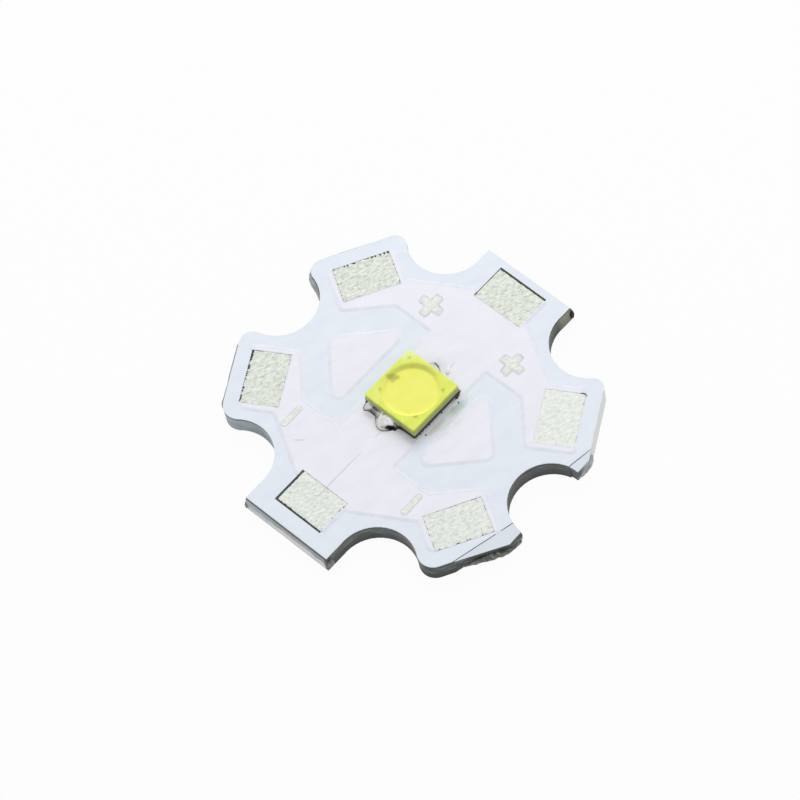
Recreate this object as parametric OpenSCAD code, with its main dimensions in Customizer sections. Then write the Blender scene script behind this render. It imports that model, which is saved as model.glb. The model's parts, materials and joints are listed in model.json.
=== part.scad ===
// Star-shaped aluminium-core circuit board with one ceramic power LED.
// Frame: origin in the middle of the board's flat underside, +Z up, +X towards the middle plus pad.
// Arms lie every 60 degrees, counter-clockwise from +X, and the screw notches lie between them.

/* [Board stack] */
// Thickness of the aluminium core
core_t = 1.1; // [0.9:0.05:2]
// Thickness of the insulating layer on the core
dielectric_t = 0.1; // [0.05:0.01:0.2]
// Thickness of the copper foil
copper_t = 0.05; // [0.03:0.005:0.12]
// Thickness of the solder mask where it covers copper
mask_t = 0.03; // [0.02:0.005:0.06]
// Thickness of the tin on bare copper
tin_t = 0.025; // [0.01:0.005:0.05]

/* [Star outline] */
// Distance across two opposite round-cornered arms
board_w = 19.94; // [18:0.02:24]
// Radius of the half-round screw notches
notch_r = 2.24; // [1.8:0.02:2.5]
// Angle of the four side notches from the X axis
side_notch_angle = 31; // [29:0.5:33]
// Distance of the side notches' centres inside the arm ends
side_notch_inset = 0.02; // [-0.2:0.02:0.4]
// Distance of the two end notches' centres inside the arm ends
end_notch_inset = 0.23; // [0:0.01:0.5]
// Corner radius beside the side notches on the plus half
plus_corner_r = 0.62; // [0.3:0.02:1.1]
// Corner radius beside the side notches on the minus half
minus_corner_r = 0.9; // [0.3:0.02:1.1]
// Corner radius beside the upper end notch
end_corner_r = 0.7; // [0.3:0.02:1]

/* [Scored edges] */
// Distance of the plus arm's scored edge inside the arm ends
plus_score_inset = 0.6; // [0.1:0.05:0.9]
// Distance of the minus arm's scored edge inside the arm ends
minus_score_inset = 0.12; // [0:0.01:0.9]
// Distance of the lower scored edge inside the arm ends
lower_score_inset = 0.29; // [0.15:0.01:0.6]
// Full angle of the score's V groove
score_angle = 40; // [20:1:45]
// Depth of the V groove from the top
score_top_depth = 0.4; // [0.25:0.05:0.6]
// Depth of the V groove from the underside
score_bottom_depth = 0.2; // [0.1:0.05:0.6]

/* [Bent corners] */
// Angle by which the two snapped corners hang down
bend_angle = 12; // [4:1:20]
// Width of the crack in the brittle layers at its foot
crack_w = 0.02; // [0.01:0.005:0.05]
// Start of the minus arm's crack, from the arm's centre line
minus_crack_start = 0.93; // [0:0.01:1.6]
// Angle between that crack and the arm's end
minus_crack_angle = 15.8; // [10:0.2:20]
// Start of the plus arm's crack, from the arm's centre line
plus_crack_start = 1.52; // [1:0.02:1.8]
// Angle between that crack and the arm's end
plus_crack_angle = 38; // [30:1:45]

/* [Solder pads] */
// Length of a pad's mask opening along its arm
pad_l = 2.2; // [1.6:0.05:2.6]
// Width of a pad's mask opening across its arm
pad_w = 3.25; // [2.4:0.05:3.6]
// Mask left between a pad and a round-cornered arm's end
pad_edge_gap = 0.85; // [0.6:0.05:1.4]
// Distance of a middle pad from the line of the round-cornered arms' ends
middle_pad_gap = 1; // [0.9:0.05:1.6]
// Width of the trench between copper and mask at a pad's outer edge
trench_w = 0.1; // [0.06:0.01:0.2]
// Width of that trench at the sides of the two middle pads
side_trench_w = 0.075; // [0.04:0.005:0.15]
// Shift of the mask openings from the copper along Y
mask_shift = 0.03; // [-0.03:0.005:0.03]

/* [Copper traces] */
// Distance of a trace's inner edge from the board's middle
channel_x = 3.82; // [3.4:0.02:4.2]
// Width of the copper band that leads to the LED
band_w = 3.7; // [3.6:0.05:4.4]
// Copper under the mask at the sides of a pad
side_cover = 0.18; // [0.1:0.01:0.4]
// Copper under the mask at the inner edge of a pad
inner_cover = 0.29; // [0.1:0.01:0.4]
// Length of covered copper at a middle pad's inner corners
neck_l = 0.2; // [0.1:0.01:0.4]
// Distance from a pad's inner edge at which its trace starts to narrow
flare_l = 0.1; // [0:0.01:0.4]
// Cut at the outer corner of a pad's copper
corner_cut = 0.27; // [0.15:0.01:0.4]
// Radius of the etched copper corners
etch_r = 0.2; // [0.05:0.01:0.22]
// Distance of an island's straight edge from the board's middle
island_base = 2.95; // [2.6:0.05:3.2]
// Distance of an island's tip from the board's middle
island_tip = 5.75; // [5.2:0.05:6.2]
// Corner radius of an island
island_r = 0.35; // [0.1:0.05:0.5]
// Shift of both islands along Y
island_shift = 0.1; // [-0.1:0.01:0.1]
// Width of the mask that wraps an etched copper edge
mask_wrap = 0.06; // [0.03:0.01:0.09]

/* [LED package] */
// Side of the square ceramic package
led_w = 3.55; // [3.4:0.05:3.8]
// Shift of the LED from the board's middle along X
led_x = 0.11; // [-0.12:0.01:0.12]
// Shift of the LED from the board's middle along Y
led_y = 0.04; // [-0.06:0.01:0.06]
// Thickness of the ceramic
ceramic_t = 0.36; // [0.3:0.02:0.8]
// Thickness of the plated contacts under the ceramic
contact_t = 0.03; // [0.02:0.005:0.06]
// Width of the two electrical contacts
contact_w = 0.5; // [0.4:0.02:0.6]
// Ceramic left bare between a contact and the package's edge
contact_edge = 0.1; // [0.05:0.01:0.15]
// Gap between an electrical contact and the thermal contact
contact_gap = 0.5; // [0.45:0.01:0.6]
// Corner radius of the phosphor coat
phosphor_r = 0.12; // [0.05:0.01:0.3]
// Diameter of the coat's round dish at its rim
dish_d = 3.26; // [2.94:0.02:3.3]
// Depth of the dish down to the lens
dish_depth = 0.16; // [0.08:0.01:0.3]
// Diameter of the flat silicone lens in the dish's floor
lens_d = 2.7; // [2.4:0.02:2.9]
// Thickness of the lens
lens_t = 0.04; // [0.02:0.005:0.1]
// Phosphor left between the die and the lens
die_cover = 0.02; // [0.01:0.005:0.06]
// Side of the square light-emitting die
die_w = 1.4; // [1:0.05:1.6]
// Thickness of the die and of the protection diode
die_t = 0.1; // [0.08:0.01:0.12]
// Side of the protection diode
esd_w = 0.3; // [0.2:0.02:0.4]
// Distance of the protection diode from the LED's middle
esd_y = 1.28; // [1.1:0.02:1.4]

/* [Solder joints] */
// Thickness of the solder under the contacts
solder_t = 0.06; // [0.04:0.005:0.12]
// Copper land around each contact
land_margin = 0.12; // [0.09:0.01:0.14]
// Mask lapping over the edge of a land
mask_lap = 0.05; // [0.03:0.005:0.07]
// Reach of the outer lands beyond the package
land_reach = 0.25; // [0.15:0.01:0.35]
// Height to which solder climbs the ceramic
fillet_rise = 0.16; // [0.1:0.01:0.3]
// Radius of the solder drip on the minus side at its root
drip_r = 0.34; // [0.2:0.02:0.4]
// Radius of that drip at its tip
drip_tip_r = 0.1; // [0.06:0.02:0.2]
// Reach of that drip beyond the package
drip_reach = 0.7; // [0.6:0.02:0.8]
// Shift of the drip's tip along Y
drip_tip_y = 0.38; // [0:0.02:0.6]
// Radius of the solder bead on the plus side
bead_r = 0.33; // [0.2:0.01:0.4]
// Distance of the bead's middle beyond the package
bead_reach = 0.33; // [0.2:0.01:0.4]
// Place of the bead along Y
bead_y = 0.38; // [0:0.02:0.8]

/* [Hidden] */

$fn = 64;
// Facets in an etched corner, a board corner and a solder fillet
etch_steps = 6;
corner_steps = 12;
fillet_steps = 8;
// How far a scored arm's straight side runs inside the notch circle
notch_blend = 0.01;
// Overshoot of cutting shapes
over = 1;

// Heights in the stack
dielectric_z = core_t;
copper_z = dielectric_z + dielectric_t;
cover_z = copper_z + copper_t;
mask_z = cover_z + mask_t;
contact_z = cover_z + solder_t;
ceramic_z = contact_z + contact_t;
phosphor_z = ceramic_z + ceramic_t;
lens_z = phosphor_z + die_t + die_cover;
dish_z = lens_z + lens_t;
top_z = dish_z + dish_depth;

// Screw notches, counter-clockwise from the one beside the plus arm
reach = board_w / 2;
side_notch = (reach - side_notch_inset) * [cos(side_notch_angle), sin(side_notch_angle)];
end_notch = [0, reach - end_notch_inset];
notches = [side_notch, end_notch, [-side_notch.x, side_notch.y],
    [-side_notch.x, -side_notch.y], [0, -end_notch.y], [side_notch.x, -side_notch.y]];
scored_half = side_notch.y - notch_r + notch_blend;

// Scored lines on the top face, and the snapped web that stands proud of them
plus_score_x = reach - plus_score_inset;
minus_score_x = reach - minus_score_inset;
lower_score_y = reach - lower_score_inset;
score_slope = tan(score_angle / 2);
web_out = score_top_depth * score_slope;

// Cracks across the two lower arms: the arm's angle, the start across the arm and the slant
minus_crack = [240, -minus_crack_start, minus_crack_angle];
plus_crack = [300, -plus_crack_start, -plus_crack_angle];
block_l = reach / 2;

// Pads along the arms
pad_out = reach - pad_edge_gap;
pad_in = pad_out - pad_l;
middle_pad_out = reach - middle_pad_gap;
middle_pad_in = middle_pad_out - pad_l;

// Contacts, lands and mask openings under the LED
led_half = led_w / 2;
contact_out = led_half - contact_edge;
contact_in = contact_out - contact_w;
thermal_half = contact_in - contact_gap;
land_in = contact_in - land_margin;
land_out = led_half + land_reach;
opening_margin = land_margin - mask_lap;
opening_in = contact_in - opening_margin;
opening_half_l = contact_out + opening_margin;

function unit(v) = v / norm(v);
function flip_y(p) = [p.x, -p.y];
function reverse(list) = [for (i = [len(list) - 1 : -1 : 0]) list[i]];

// Point on an arm: r outward along the arm at the given angle, w counter-clockwise across it
function arm_point(angle, r, w) =
    [r * cos(angle) - w * sin(angle), r * sin(angle) + w * cos(angle)];

// Outline moved outward by d, for points in counter-clockwise order
function grown(points, d) = let (n = len(points))
    [for (i = [0 : n - 1])
        let (u = unit(points[i] - points[(i + n - 1) % n]), v = unit(points[(i + 1) % n] - points[i]),
            a = [u.y, -u.x], b = [v.y, -v.x])
        points[i] + d * (a + b) / (1 + a * b)];

// Outline with every corner rounded to radius r
function rounded(points, r) = let (n = len(points))
    [for (i = [0 : n - 1])
        let (b = points[i], u = unit(points[(i + n - 1) % n] - b), v = unit(points[(i + 1) % n] - b),
            half = acos(u * v) / 2, centre = b + unit(u + v) * r / sin(half),
            from = b + u * r / tan(half) - centre, to = b + v * r / tan(half) - centre,
            start = atan2(from.y, from.x), turn = atan2(from.x * to.y - from.y * to.x, from * to))
        for (k = [0 : etch_steps])
            centre + r * [cos(start + turn * k / etch_steps), sin(start + turn * k / etch_steps)]];

// Rounded corner between an arm's end and a notch, from the end towards the notch's wall
function arm_corner(angle, notch, r) =
    let (axis = [cos(angle), sin(angle)], nr = notch * axis, nw = notch * [-axis.y, axis.x],
        cr = reach - r, cw = nw - sign(nw) * sqrt(pow(notch_r + r, 2) - pow(cr - nr, 2)),
        sweep = atan2(nw - cw, nr - cr))
    [for (k = [0 : corner_steps - 1]) let (t = sweep * k / corner_steps)
        arm_point(angle, cr + r * cos(t), cw + r * sin(t))];

// Tip of a lower arm, where its end line meets the snapped web
function lower_tip(angle) =
    arm_point(angle, reach, (-lower_score_y - web_out - reach * sin(angle)) / cos(angle));

// Star outline, counter-clockwise from the plus arm, with each notch still closed to its centre
star_points = concat(
    [[plus_score_x + web_out, -scored_half], [plus_score_x + web_out, scored_half]],
    [[side_notch.x, scored_half], notches[0]],
    reverse(arm_corner(60, notches[0], plus_corner_r)), arm_corner(60, notches[1], end_corner_r),
    [notches[1]],
    reverse(arm_corner(120, notches[1], end_corner_r)), arm_corner(120, notches[2], minus_corner_r),
    [notches[2], [-side_notch.x, scored_half]],
    [[-minus_score_x - web_out, scored_half], [-minus_score_x - web_out, -scored_half]],
    [[-side_notch.x, -scored_half], notches[3]],
    reverse(arm_corner(240, notches[3], minus_corner_r)), [lower_tip(240), lower_tip(300)],
    arm_corner(300, notches[5], plus_corner_r),
    [notches[5], [side_notch.x, -scored_half]]);

// Upper half of the plus trace, from the middle pad round the upper pad to the LED's land
side_w = pad_w / 2 + side_cover;
pad_copper_out = pad_out - trench_w;
middle_half = pad_w / 2 - side_trench_w;
shoulder = arm_point(60, pad_in - inner_cover, side_w);
trace_half = [
    [middle_pad_out - trench_w, middle_half],
    [middle_pad_in + neck_l, middle_half],
    [middle_pad_in + neck_l, band_w / 2],
    arm_point(60, pad_in + flare_l, -side_w),
    arm_point(60, pad_copper_out - corner_cut, -side_w),
    arm_point(60, pad_copper_out, corner_cut - side_w),
    arm_point(60, pad_copper_out, side_w),
    shoulder,
    [channel_x, shoulder.y + shoulder.x - channel_x],
    [channel_x, band_w / 2],
    [land_in, band_w / 2]];
trace_points = concat(trace_half, [for (p = reverse(trace_half)) flip_y(p)]);

// Upper island: a right-angled triangle with its two equal sides along the trace's channel
island_half = island_tip - island_base;
island_points = [[-island_half, island_base], [island_half, island_base], [0, island_tip]];

// Rectangle about the origin, counter-clockwise
function box_points(half_x, half_y) =
    [[-half_x, -half_y], [half_x, -half_y], [half_x, half_y], [-half_x, half_y]];
thermal_points = box_points(thermal_half + land_margin, contact_out + land_margin);

module star_2d() {
    difference() {
        polygon(star_points);
        for (centre = notches) translate(centre) circle(r = notch_r);
    }
}

// Two wedges that a V groove takes off a snapped edge along Y, from the top and from below
module score_wedges(edge) {
    web = edge + web_out;
    rotate([90, 0, 0]) translate([0, 0, -board_w]) linear_extrude(2 * board_w) {
        polygon([[edge - over * score_slope, mask_z + over], [web, mask_z - score_top_depth],
            [web + over, mask_z - score_top_depth], [web + over, mask_z + over]]);
        polygon([[web - (score_bottom_depth + over) * score_slope, -over], [web + over, -over],
            [web + over, score_bottom_depth], [web, score_bottom_depth]]);
    }
}

module all_score_wedges() {
    score_wedges(plus_score_x);
    rotate(180) score_wedges(minus_score_x);
    rotate(-90) score_wedges(lower_score_y);
}

// Frame of a crack: X points outward from it and Y runs along it
module to_crack(crack) {
    rotate(crack[0]) translate([reach, crack[1], 0]) rotate(crack[2]) children();
}

module from_crack(crack) {
    rotate(-crack[2]) translate([-reach, -crack[1], 0]) rotate(-crack[0]) children();
}

// Space outside a crack, which holds the corner that it cuts off
module corner_block(crack, gap = 0) {
    to_crack(crack) translate([-gap, crack[2] > 0 ? -over : -block_l, -over])
        cube([block_l + gap, block_l + over, mask_z + 2 * over]);
}

// The child's corner outside a crack, bent about the core's top face and trimmed level below
module bent_corner(crack) {
    intersection() {
        to_crack(crack) translate([0, 0, dielectric_z]) rotate([0, bend_angle, 0])
            translate([0, 0, -dielectric_z]) from_crack(crack) intersection() {
                children();
                corner_block(crack);
            }
        translate([-board_w, -board_w, 0]) cube([2 * board_w, 2 * board_w, mask_z + over]);
    }
}

// A layer of the board with its two lower corners bent down; gap opens a crack in brittle layers
module with_bent_corners(gap = 0) {
    difference() {
        children();
        corner_block(minus_crack, gap);
        corner_block(plus_crack, gap);
    }
    bent_corner(minus_crack) children();
    bent_corner(plus_crack) children();
}

module star_layer(z, t) {
    difference() {
        translate([0, 0, z]) linear_extrude(t) star_2d();
        all_score_wedges();
    }
}

module aluminium_core() {
    color("darkgray") with_bent_corners() star_layer(0, core_t);
}

module dielectric_layer() {
    color("dimgray") with_bent_corners(crack_w) star_layer(dielectric_z, dielectric_t);
}

// Copper outlines; grow widens them for the mask that wraps their edges
module trace_2d(grow = 0) {
    polygon(rounded(grown(trace_points, grow), etch_r));
}

module island_2d(side, grow = 0) {
    translate([0, island_shift]) mirror([0, side < 0 ? 1 : 0])
        polygon(rounded(grown(island_points, grow), island_r));
}

module copper_2d(grow = 0) {
    trace_2d(grow);
    mirror([1, 0]) trace_2d(grow);
    polygon(grown(thermal_points, grow));
    for (side = [-1, 1]) island_2d(side, grow);
}

module foil() {
    color("peru") translate([0, 0, copper_z]) linear_extrude(copper_t) children();
}

module positive_trace() { foil() trace_2d(); }

module negative_trace() { foil() mirror([1, 0]) trace_2d(); }

module thermal_land() { foil() polygon(thermal_points); }

module upper_copper_island() { foil() island_2d(1); }

module lower_copper_island() { foil() island_2d(-1); }

// Mask openings over the pads and over the LED's lands
module pad_opening(angle, outer) {
    translate([0, mask_shift]) rotate(angle) translate([outer - pad_l, -pad_w / 2]) square([pad_l, pad_w]);
}

module land_opening(inner, outer) {
    translate([inner, -opening_half_l]) square([outer - inner, 2 * opening_half_l]);
}

module thermal_opening() {
    land_opening(-thermal_half - opening_margin, thermal_half + opening_margin);
}

module openings_2d() {
    for (angle = [60, 120, 240, 300]) pad_opening(angle, pad_out);
    for (angle = [0, 180]) pad_opening(angle, middle_pad_out);
    for (turn = [0, 180]) rotate(turn) land_opening(opening_in, land_out);
    thermal_opening();
}

// White mask: level with the copper where the board is bare, and stepped up over every copper area
module solder_mask() {
    color("aliceblue") with_bent_corners(crack_w) difference() {
        union() {
            translate([0, 0, copper_z]) linear_extrude(copper_t) difference() {
                star_2d();
                copper_2d();
            }
            translate([0, 0, cover_z]) linear_extrude(mask_t) copper_2d(mask_wrap);
        }
        translate([0, 0, copper_z - over]) linear_extrude(copper_t + mask_t + 2 * over) openings_2d();
        all_score_wedges();
    }
}

// Tin on the copper that a pad's opening leaves bare
module tinned_pad(angle, outer) {
    color("gainsboro") translate([0, 0, cover_z]) linear_extrude(tin_t) intersection() {
        pad_opening(angle, outer);
        mirror([cos(angle) < 0 ? 1 : 0, 0]) trace_2d();
    }
}

module positive_pad_left() { tinned_pad(60, pad_out); }

module positive_pad_centre() { tinned_pad(0, middle_pad_out); }

module positive_pad_right() { tinned_pad(300, pad_out); }

module negative_pad_left() { tinned_pad(120, pad_out); }

module negative_pad_centre() { tinned_pad(180, middle_pad_out); }

module negative_pad_right() { tinned_pad(240, pad_out); }

// Section of an electrical joint: a layer under the contact and a hollow fillet up the ceramic's side;
// shift is how far the package stands outward on its land
function joint_section(shift) =
    let (climb_z = ceramic_z + fillet_rise, side = led_half + shift, edge = contact_out + shift)
    concat(
        [[opening_in, cover_z], [land_out, cover_z]],
        [for (k = [0 : fillet_steps]) let (t = 90 * k / fillet_steps)
            [land_out - (land_out - side) * sin(t), climb_z - (climb_z - mask_z) * cos(t)]],
        [[side, ceramic_z], [edge, ceramic_z], [edge, contact_z], [opening_in, contact_z]]);

module electrical_joint(shift) {
    translate([0, opening_half_l, 0]) rotate([90, 0, 0]) linear_extrude(2 * opening_half_l)
        polygon(joint_section(shift));
}

// Keeps solder outside the package and above the mask
module beside_package(shift) {
    intersection() {
        children();
        translate([led_half + shift, -led_half, mask_z]) cube([led_w, led_w, led_w]);
    }
}

module solder_ball(x, y, r) {
    translate([x, y, mask_z]) sphere(r = r, $fn = 32);
}

module anode_solder() {
    color("silver") {
        electrical_joint(led_x);
        beside_package(led_x) solder_ball(led_half + bead_reach, bead_y, bead_r);
    }
}

module cathode_solder() {
    color("silver") mirror([1, 0, 0]) {
        electrical_joint(-led_x);
        beside_package(-led_x) hull() {
            solder_ball(led_half, 0, drip_r);
            solder_ball(led_half, drip_tip_y, drip_r);
            solder_ball(led_half + drip_reach - drip_tip_r, drip_tip_y, drip_tip_r);
        }
    }
}

module thermal_solder() {
    color("silver") translate([0, 0, cover_z]) linear_extrude(solder_t) thermal_opening();
}

// Place of the LED on the board
module on_board() {
    translate([led_x, led_y, 0]) children();
}

module contact(x_from, x_to) {
    color("gold") on_board() translate([x_from, -contact_out, contact_z])
        cube([x_to - x_from, 2 * contact_out, contact_t]);
}

module anode_contact() { contact(contact_in, contact_out); }

module cathode_contact() { contact(-contact_out, -contact_in); }

module thermal_contact() { contact(-thermal_half, thermal_half); }

module ceramic_substrate() {
    color("darkkhaki") on_board() translate([-led_half, -led_half, ceramic_z])
        cube([led_w, led_w, ceramic_t]);
}

module led_die() {
    color("gold") on_board() translate([-die_w / 2, -die_w / 2, phosphor_z]) cube([die_w, die_w, die_t]);
}

module esd_diode() {
    color("olive") on_board() translate([-esd_w / 2, esd_y - esd_w / 2, phosphor_z])
        cube([esd_w, esd_w, die_t]);
}

// Phosphor over the whole top of the ceramic, cast round the die and the diode, with a sloping dish
module phosphor_layer() {
    rise = (dish_d - lens_d) / 2 / dish_depth;
    color("khaki") difference() {
        on_board() translate([0, 0, phosphor_z]) linear_extrude(top_z - phosphor_z)
            polygon(rounded(box_points(led_half, led_half), phosphor_r));
        on_board() translate([0, 0, dish_z])
            cylinder(d1 = lens_d, d2 = dish_d + 2 * rise * over, h = dish_depth + over);
        silicone_lens();
        led_die();
        esd_diode();
    }
}

module silicone_lens() {
    color("lemonchiffon") on_board() translate([0, 0, lens_z]) cylinder(d = lens_d, h = lens_t);
}

aluminium_core();
dielectric_layer();
positive_trace();
negative_trace();
thermal_land();
upper_copper_island();
lower_copper_island();
solder_mask();
positive_pad_left();
positive_pad_centre();
positive_pad_right();
negative_pad_left();
negative_pad_centre();
negative_pad_right();
anode_solder();
cathode_solder();
thermal_solder();
anode_contact();
cathode_contact();
thermal_contact();
ceramic_substrate();
led_die();
esd_diode();
phosphor_layer();
silicone_lens();
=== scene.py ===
"""Looks of a star-shaped LED board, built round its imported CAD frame.

Lengths in the classes are millimetres in the part's frame: origin in the middle of the board's
underside, +Z up, +X towards the middle plus pad. Meshes are put into Blender in metres.
"""

import json
import logging
from collections.abc import Callable
from dataclasses import dataclass, field, replace
from enum import Enum
from typing import Any

import bmesh
import bpy
import numpy as np
from mathutils import Matrix, Vector

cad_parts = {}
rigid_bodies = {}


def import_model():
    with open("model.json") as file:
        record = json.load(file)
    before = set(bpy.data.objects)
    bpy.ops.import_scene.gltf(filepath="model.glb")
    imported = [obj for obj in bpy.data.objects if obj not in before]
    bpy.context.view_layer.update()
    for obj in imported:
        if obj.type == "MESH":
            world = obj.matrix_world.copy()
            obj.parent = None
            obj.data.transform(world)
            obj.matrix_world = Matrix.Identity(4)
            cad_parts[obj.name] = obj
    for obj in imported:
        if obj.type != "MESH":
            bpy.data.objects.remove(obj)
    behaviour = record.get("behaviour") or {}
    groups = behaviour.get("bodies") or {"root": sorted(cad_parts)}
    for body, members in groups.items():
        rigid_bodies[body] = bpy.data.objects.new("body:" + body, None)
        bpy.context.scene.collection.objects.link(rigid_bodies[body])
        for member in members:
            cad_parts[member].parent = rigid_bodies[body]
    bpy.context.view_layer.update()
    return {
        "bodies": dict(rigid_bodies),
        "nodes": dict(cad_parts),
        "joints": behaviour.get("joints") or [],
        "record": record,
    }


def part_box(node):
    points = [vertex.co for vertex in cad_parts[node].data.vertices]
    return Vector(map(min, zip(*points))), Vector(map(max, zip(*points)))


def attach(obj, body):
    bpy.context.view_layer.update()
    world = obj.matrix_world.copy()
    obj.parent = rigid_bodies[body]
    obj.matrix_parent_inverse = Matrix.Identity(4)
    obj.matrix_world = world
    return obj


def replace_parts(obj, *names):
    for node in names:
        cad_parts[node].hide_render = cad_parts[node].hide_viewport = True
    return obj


LOG = logging.getLogger("star_board")
MM = 0.001
# Points along each side of the random lattice, after which the grain repeats
LATTICE = 256
Array = np.ndarray
Socket = bpy.types.NodeSocket
Tones = tuple[tuple[float, str], ...]
Table = tuple[tuple[float, ...], ...]
Place = tuple[float, float, float]
Sides = tuple[float, float, float, float]


class Slot(Enum):
    """Material slots of the record that the new pieces take."""

    CORE = "core"
    MASK = "mask"
    TIN = "tin"
    SOLDER = "solder"
    PHOSPHOR = "phosphor"
    LENS = "lens"


class Sign(Enum):
    """Kinds of polarity sign."""

    PLUS = "plus"
    MINUS = "minus"


# Span and width of a sign's tin, and width of the lacquer's rim round it, mm
SIGN_SIZES = {Sign.PLUS: (1.36, 0.36, 0.12), Sign.MINUS: (1.5, 0.32, 0.06)}


def linear(code: str) -> tuple[float, float, float, float]:
    """Turns an sRGB hex value into linear RGBA.

    Args:
        code: six hex digits.

    Returns:
        Linear red, green and blue with full alpha.
    """
    s = np.array([int(code[i:i + 2], 16) for i in (0, 2, 4)]) / 255
    rgb = np.where(s <= 0.04045, s / 12.92, ((s + 0.055) / 1.055) ** 2.4)
    return (*rgb.tolist(), 1.0)


def ease(t: Array) -> Array:
    """Cubic ease from 0 to 1: 3t^2 - 2t^3, with t held between 0 and 1."""
    t = np.clip(t, 0, 1)
    return t * t * (3 - 2 * t)


def grain(x: Array, y: Array, size: float, seed: int, octaves: int = 3) -> Array:
    """Smooth random relief: random heights on a square lattice, joined by a cubic ease.

    Each further octave has half the spacing and half the height of the one before.

    Args:
        x: first coordinate, mm.
        y: second coordinate, mm.
        size: lattice spacing of the first octave, mm.
        seed: seed of the random heights.
        octaves: number of layers.

    Returns:
        Relief between about -1 and 1, in the shape of x and y.
    """
    rng = np.random.default_rng(seed)
    x, y = np.broadcast_arrays(np.asarray(x, float), np.asarray(y, float))
    total = np.zeros(x.shape)
    for k in range(octaves):
        table = rng.uniform(-1, 1, (LATTICE, LATTICE))
        u, v = x / size * 2 ** k, y / size * 2 ** k
        i, j = np.floor(u).astype(int), np.floor(v).astype(int)
        a, b = ease(u - i), ease(v - j)
        i0, i1, j0, j1 = i % LATTICE, (i + 1) % LATTICE, j % LATTICE, (j + 1) % LATTICE
        low = table[i0, j0] * (1 - a) + table[i1, j0] * a
        high = table[i0, j1] * (1 - a) + table[i1, j1] * a
        total += 0.5 ** k * (low * (1 - b) + high * b)
    return total


def soften(values: Array, reach: int, mode: str) -> Array:
    """Running mean whose weights fall off as a raised cosine.

    Args:
        values: evenly spaced values.
        reach: number of neighbours taken in on each side.
        mode: numpy's name for how the values carry on past their ends.

    Returns:
        The softened values, as many as were given.
    """
    weights = np.hanning(2 * reach + 3)[1:-1]
    return np.convolve(np.pad(values, reach, mode=mode), weights / weights.sum(), "valid")


def quads(rows: int, cols: int, wrap_rows: bool = False, wrap_cols: bool = False) -> Array:
    """Four-sided faces between neighbouring points of a grid.

    Args:
        rows: points along the first parameter.
        cols: points along the second parameter.
        wrap_rows: joins the last row to the first.
        wrap_cols: joins the last column to the first.

    Returns:
        Point numbers, one row of four for each face.
    """
    i = np.arange(rows if wrap_rows else rows - 1)[:, None]
    j = np.arange(cols if wrap_cols else cols - 1)[None, :]
    i1, j1 = (i + 1) % rows, (j + 1) % cols
    corners = np.broadcast_arrays(i * cols + j, i * cols + j1, i1 * cols + j1, i1 * cols + j)
    return np.stack(corners, -1).reshape(-1, 4)


@dataclass
class Shell:
    """A closed surface: points in millimetres, and faces in blocks with one count of corners each."""

    points: Array
    faces: list[Array]

    @classmethod
    def rings(cls, rings: Array, first: Array, last: Array) -> "Shell":
        """Closed surface of rings with a pole at each end.

        Args:
            rings: (count, around, 3) points; neighbouring rings are joined.
            first: the pole before the first ring.
            last: the pole after the last ring.

        Returns:
            The shell, with fans of triangles at both poles.
        """
        count, around = rings.shape[:2]
        points = np.concatenate([rings.reshape(-1, 3), [first], [last]])
        j = np.arange(around)
        k = (j + 1) % around
        pole, end = count * around, (count - 1) * around
        top = np.stack([np.full(around, pole), k, j], 1)
        bottom = np.stack([np.full(around, pole + 1), end + j, end + k], 1)
        return cls(points, [quads(count, around, wrap_cols=True), top, bottom])

    @classmethod
    def torus(cls, rings: Array) -> "Shell":
        """Closed surface of rings that come back to the first one."""
        count, around = rings.shape[:2]
        return cls(rings.reshape(-1, 3), [quads(count, around, True, True)])

    @classmethod
    def slab(cls, top: Array, base: float) -> "Shell":
        """Relief on a grid, closed by a skirt and a flat underside.

        Args:
            top: (rows, cols, 3) points of the relief.
            base: height of the underside, mm.

        Returns:
            The closed shell.
        """
        rows, cols = top.shape[:2]
        index = np.arange(rows * cols).reshape(rows, cols)
        border = np.concatenate([index[0], index[1:, -1], index[-1, -2::-1], index[-2:0:-1, 0]])
        foot = top.reshape(-1, 3)[border].copy()
        foot[:, 2] = base
        n = rows * cols + np.arange(len(border))
        skirt = np.stack([border, np.roll(border, -1), np.roll(n, -1), n], 1)
        return cls(np.concatenate([top.reshape(-1, 3), foot]), [quads(rows, cols), skirt, n[None]])

    @classmethod
    def joined(cls, shells: list["Shell"]) -> "Shell":
        """Several shells as one piece.

        Args:
            shells: the shells, which need not touch.

        Returns:
            One shell with the points and faces of all.
        """
        starts = np.cumsum([0] + [len(s.points) for s in shells])
        faces = [start + block for start, s in zip(starts, shells) for block in s.faces]
        return cls(np.concatenate([s.points for s in shells]), faces)


def nugget(centre: Place, half: Place, turn: float, seed: int, rough: float = 0.25) -> Shell:
    """An uneven ellipsoid: latitude and longitude, with the radius moved by a fine relief.

    Args:
        centre: its middle, mm.
        half: its half sizes, mm.
        turn: turn about Z, degrees.
        seed: seed of the relief.
        rough: share by which the radius is moved.

    Returns:
        The closed lump.
    """
    lat = np.linspace(0, np.pi, 22)[1:-1, None]
    lon = np.linspace(0, 2 * np.pi, 40, endpoint=False)[None, :]
    ball = np.stack([np.sin(lat) * np.cos(lon), np.sin(lat) * np.sin(lon), np.cos(lat) + 0 * lon], -1)
    x, y, z = np.moveaxis(ball, -1, 0)
    local = ball * (1 + rough * grain(x * 2 + 5, y * 2 + 2 * z, 1.1, seed))[..., None] * half
    a = np.radians(turn)
    spin = np.array([[np.cos(a), np.sin(a), 0], [-np.sin(a), np.cos(a), 0], [0, 0, 1]])
    pole = np.array([0, 0, half[2]])
    return Shell.rings(local @ spin + centre, pole + centre, np.array(centre) - pole)


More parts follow.
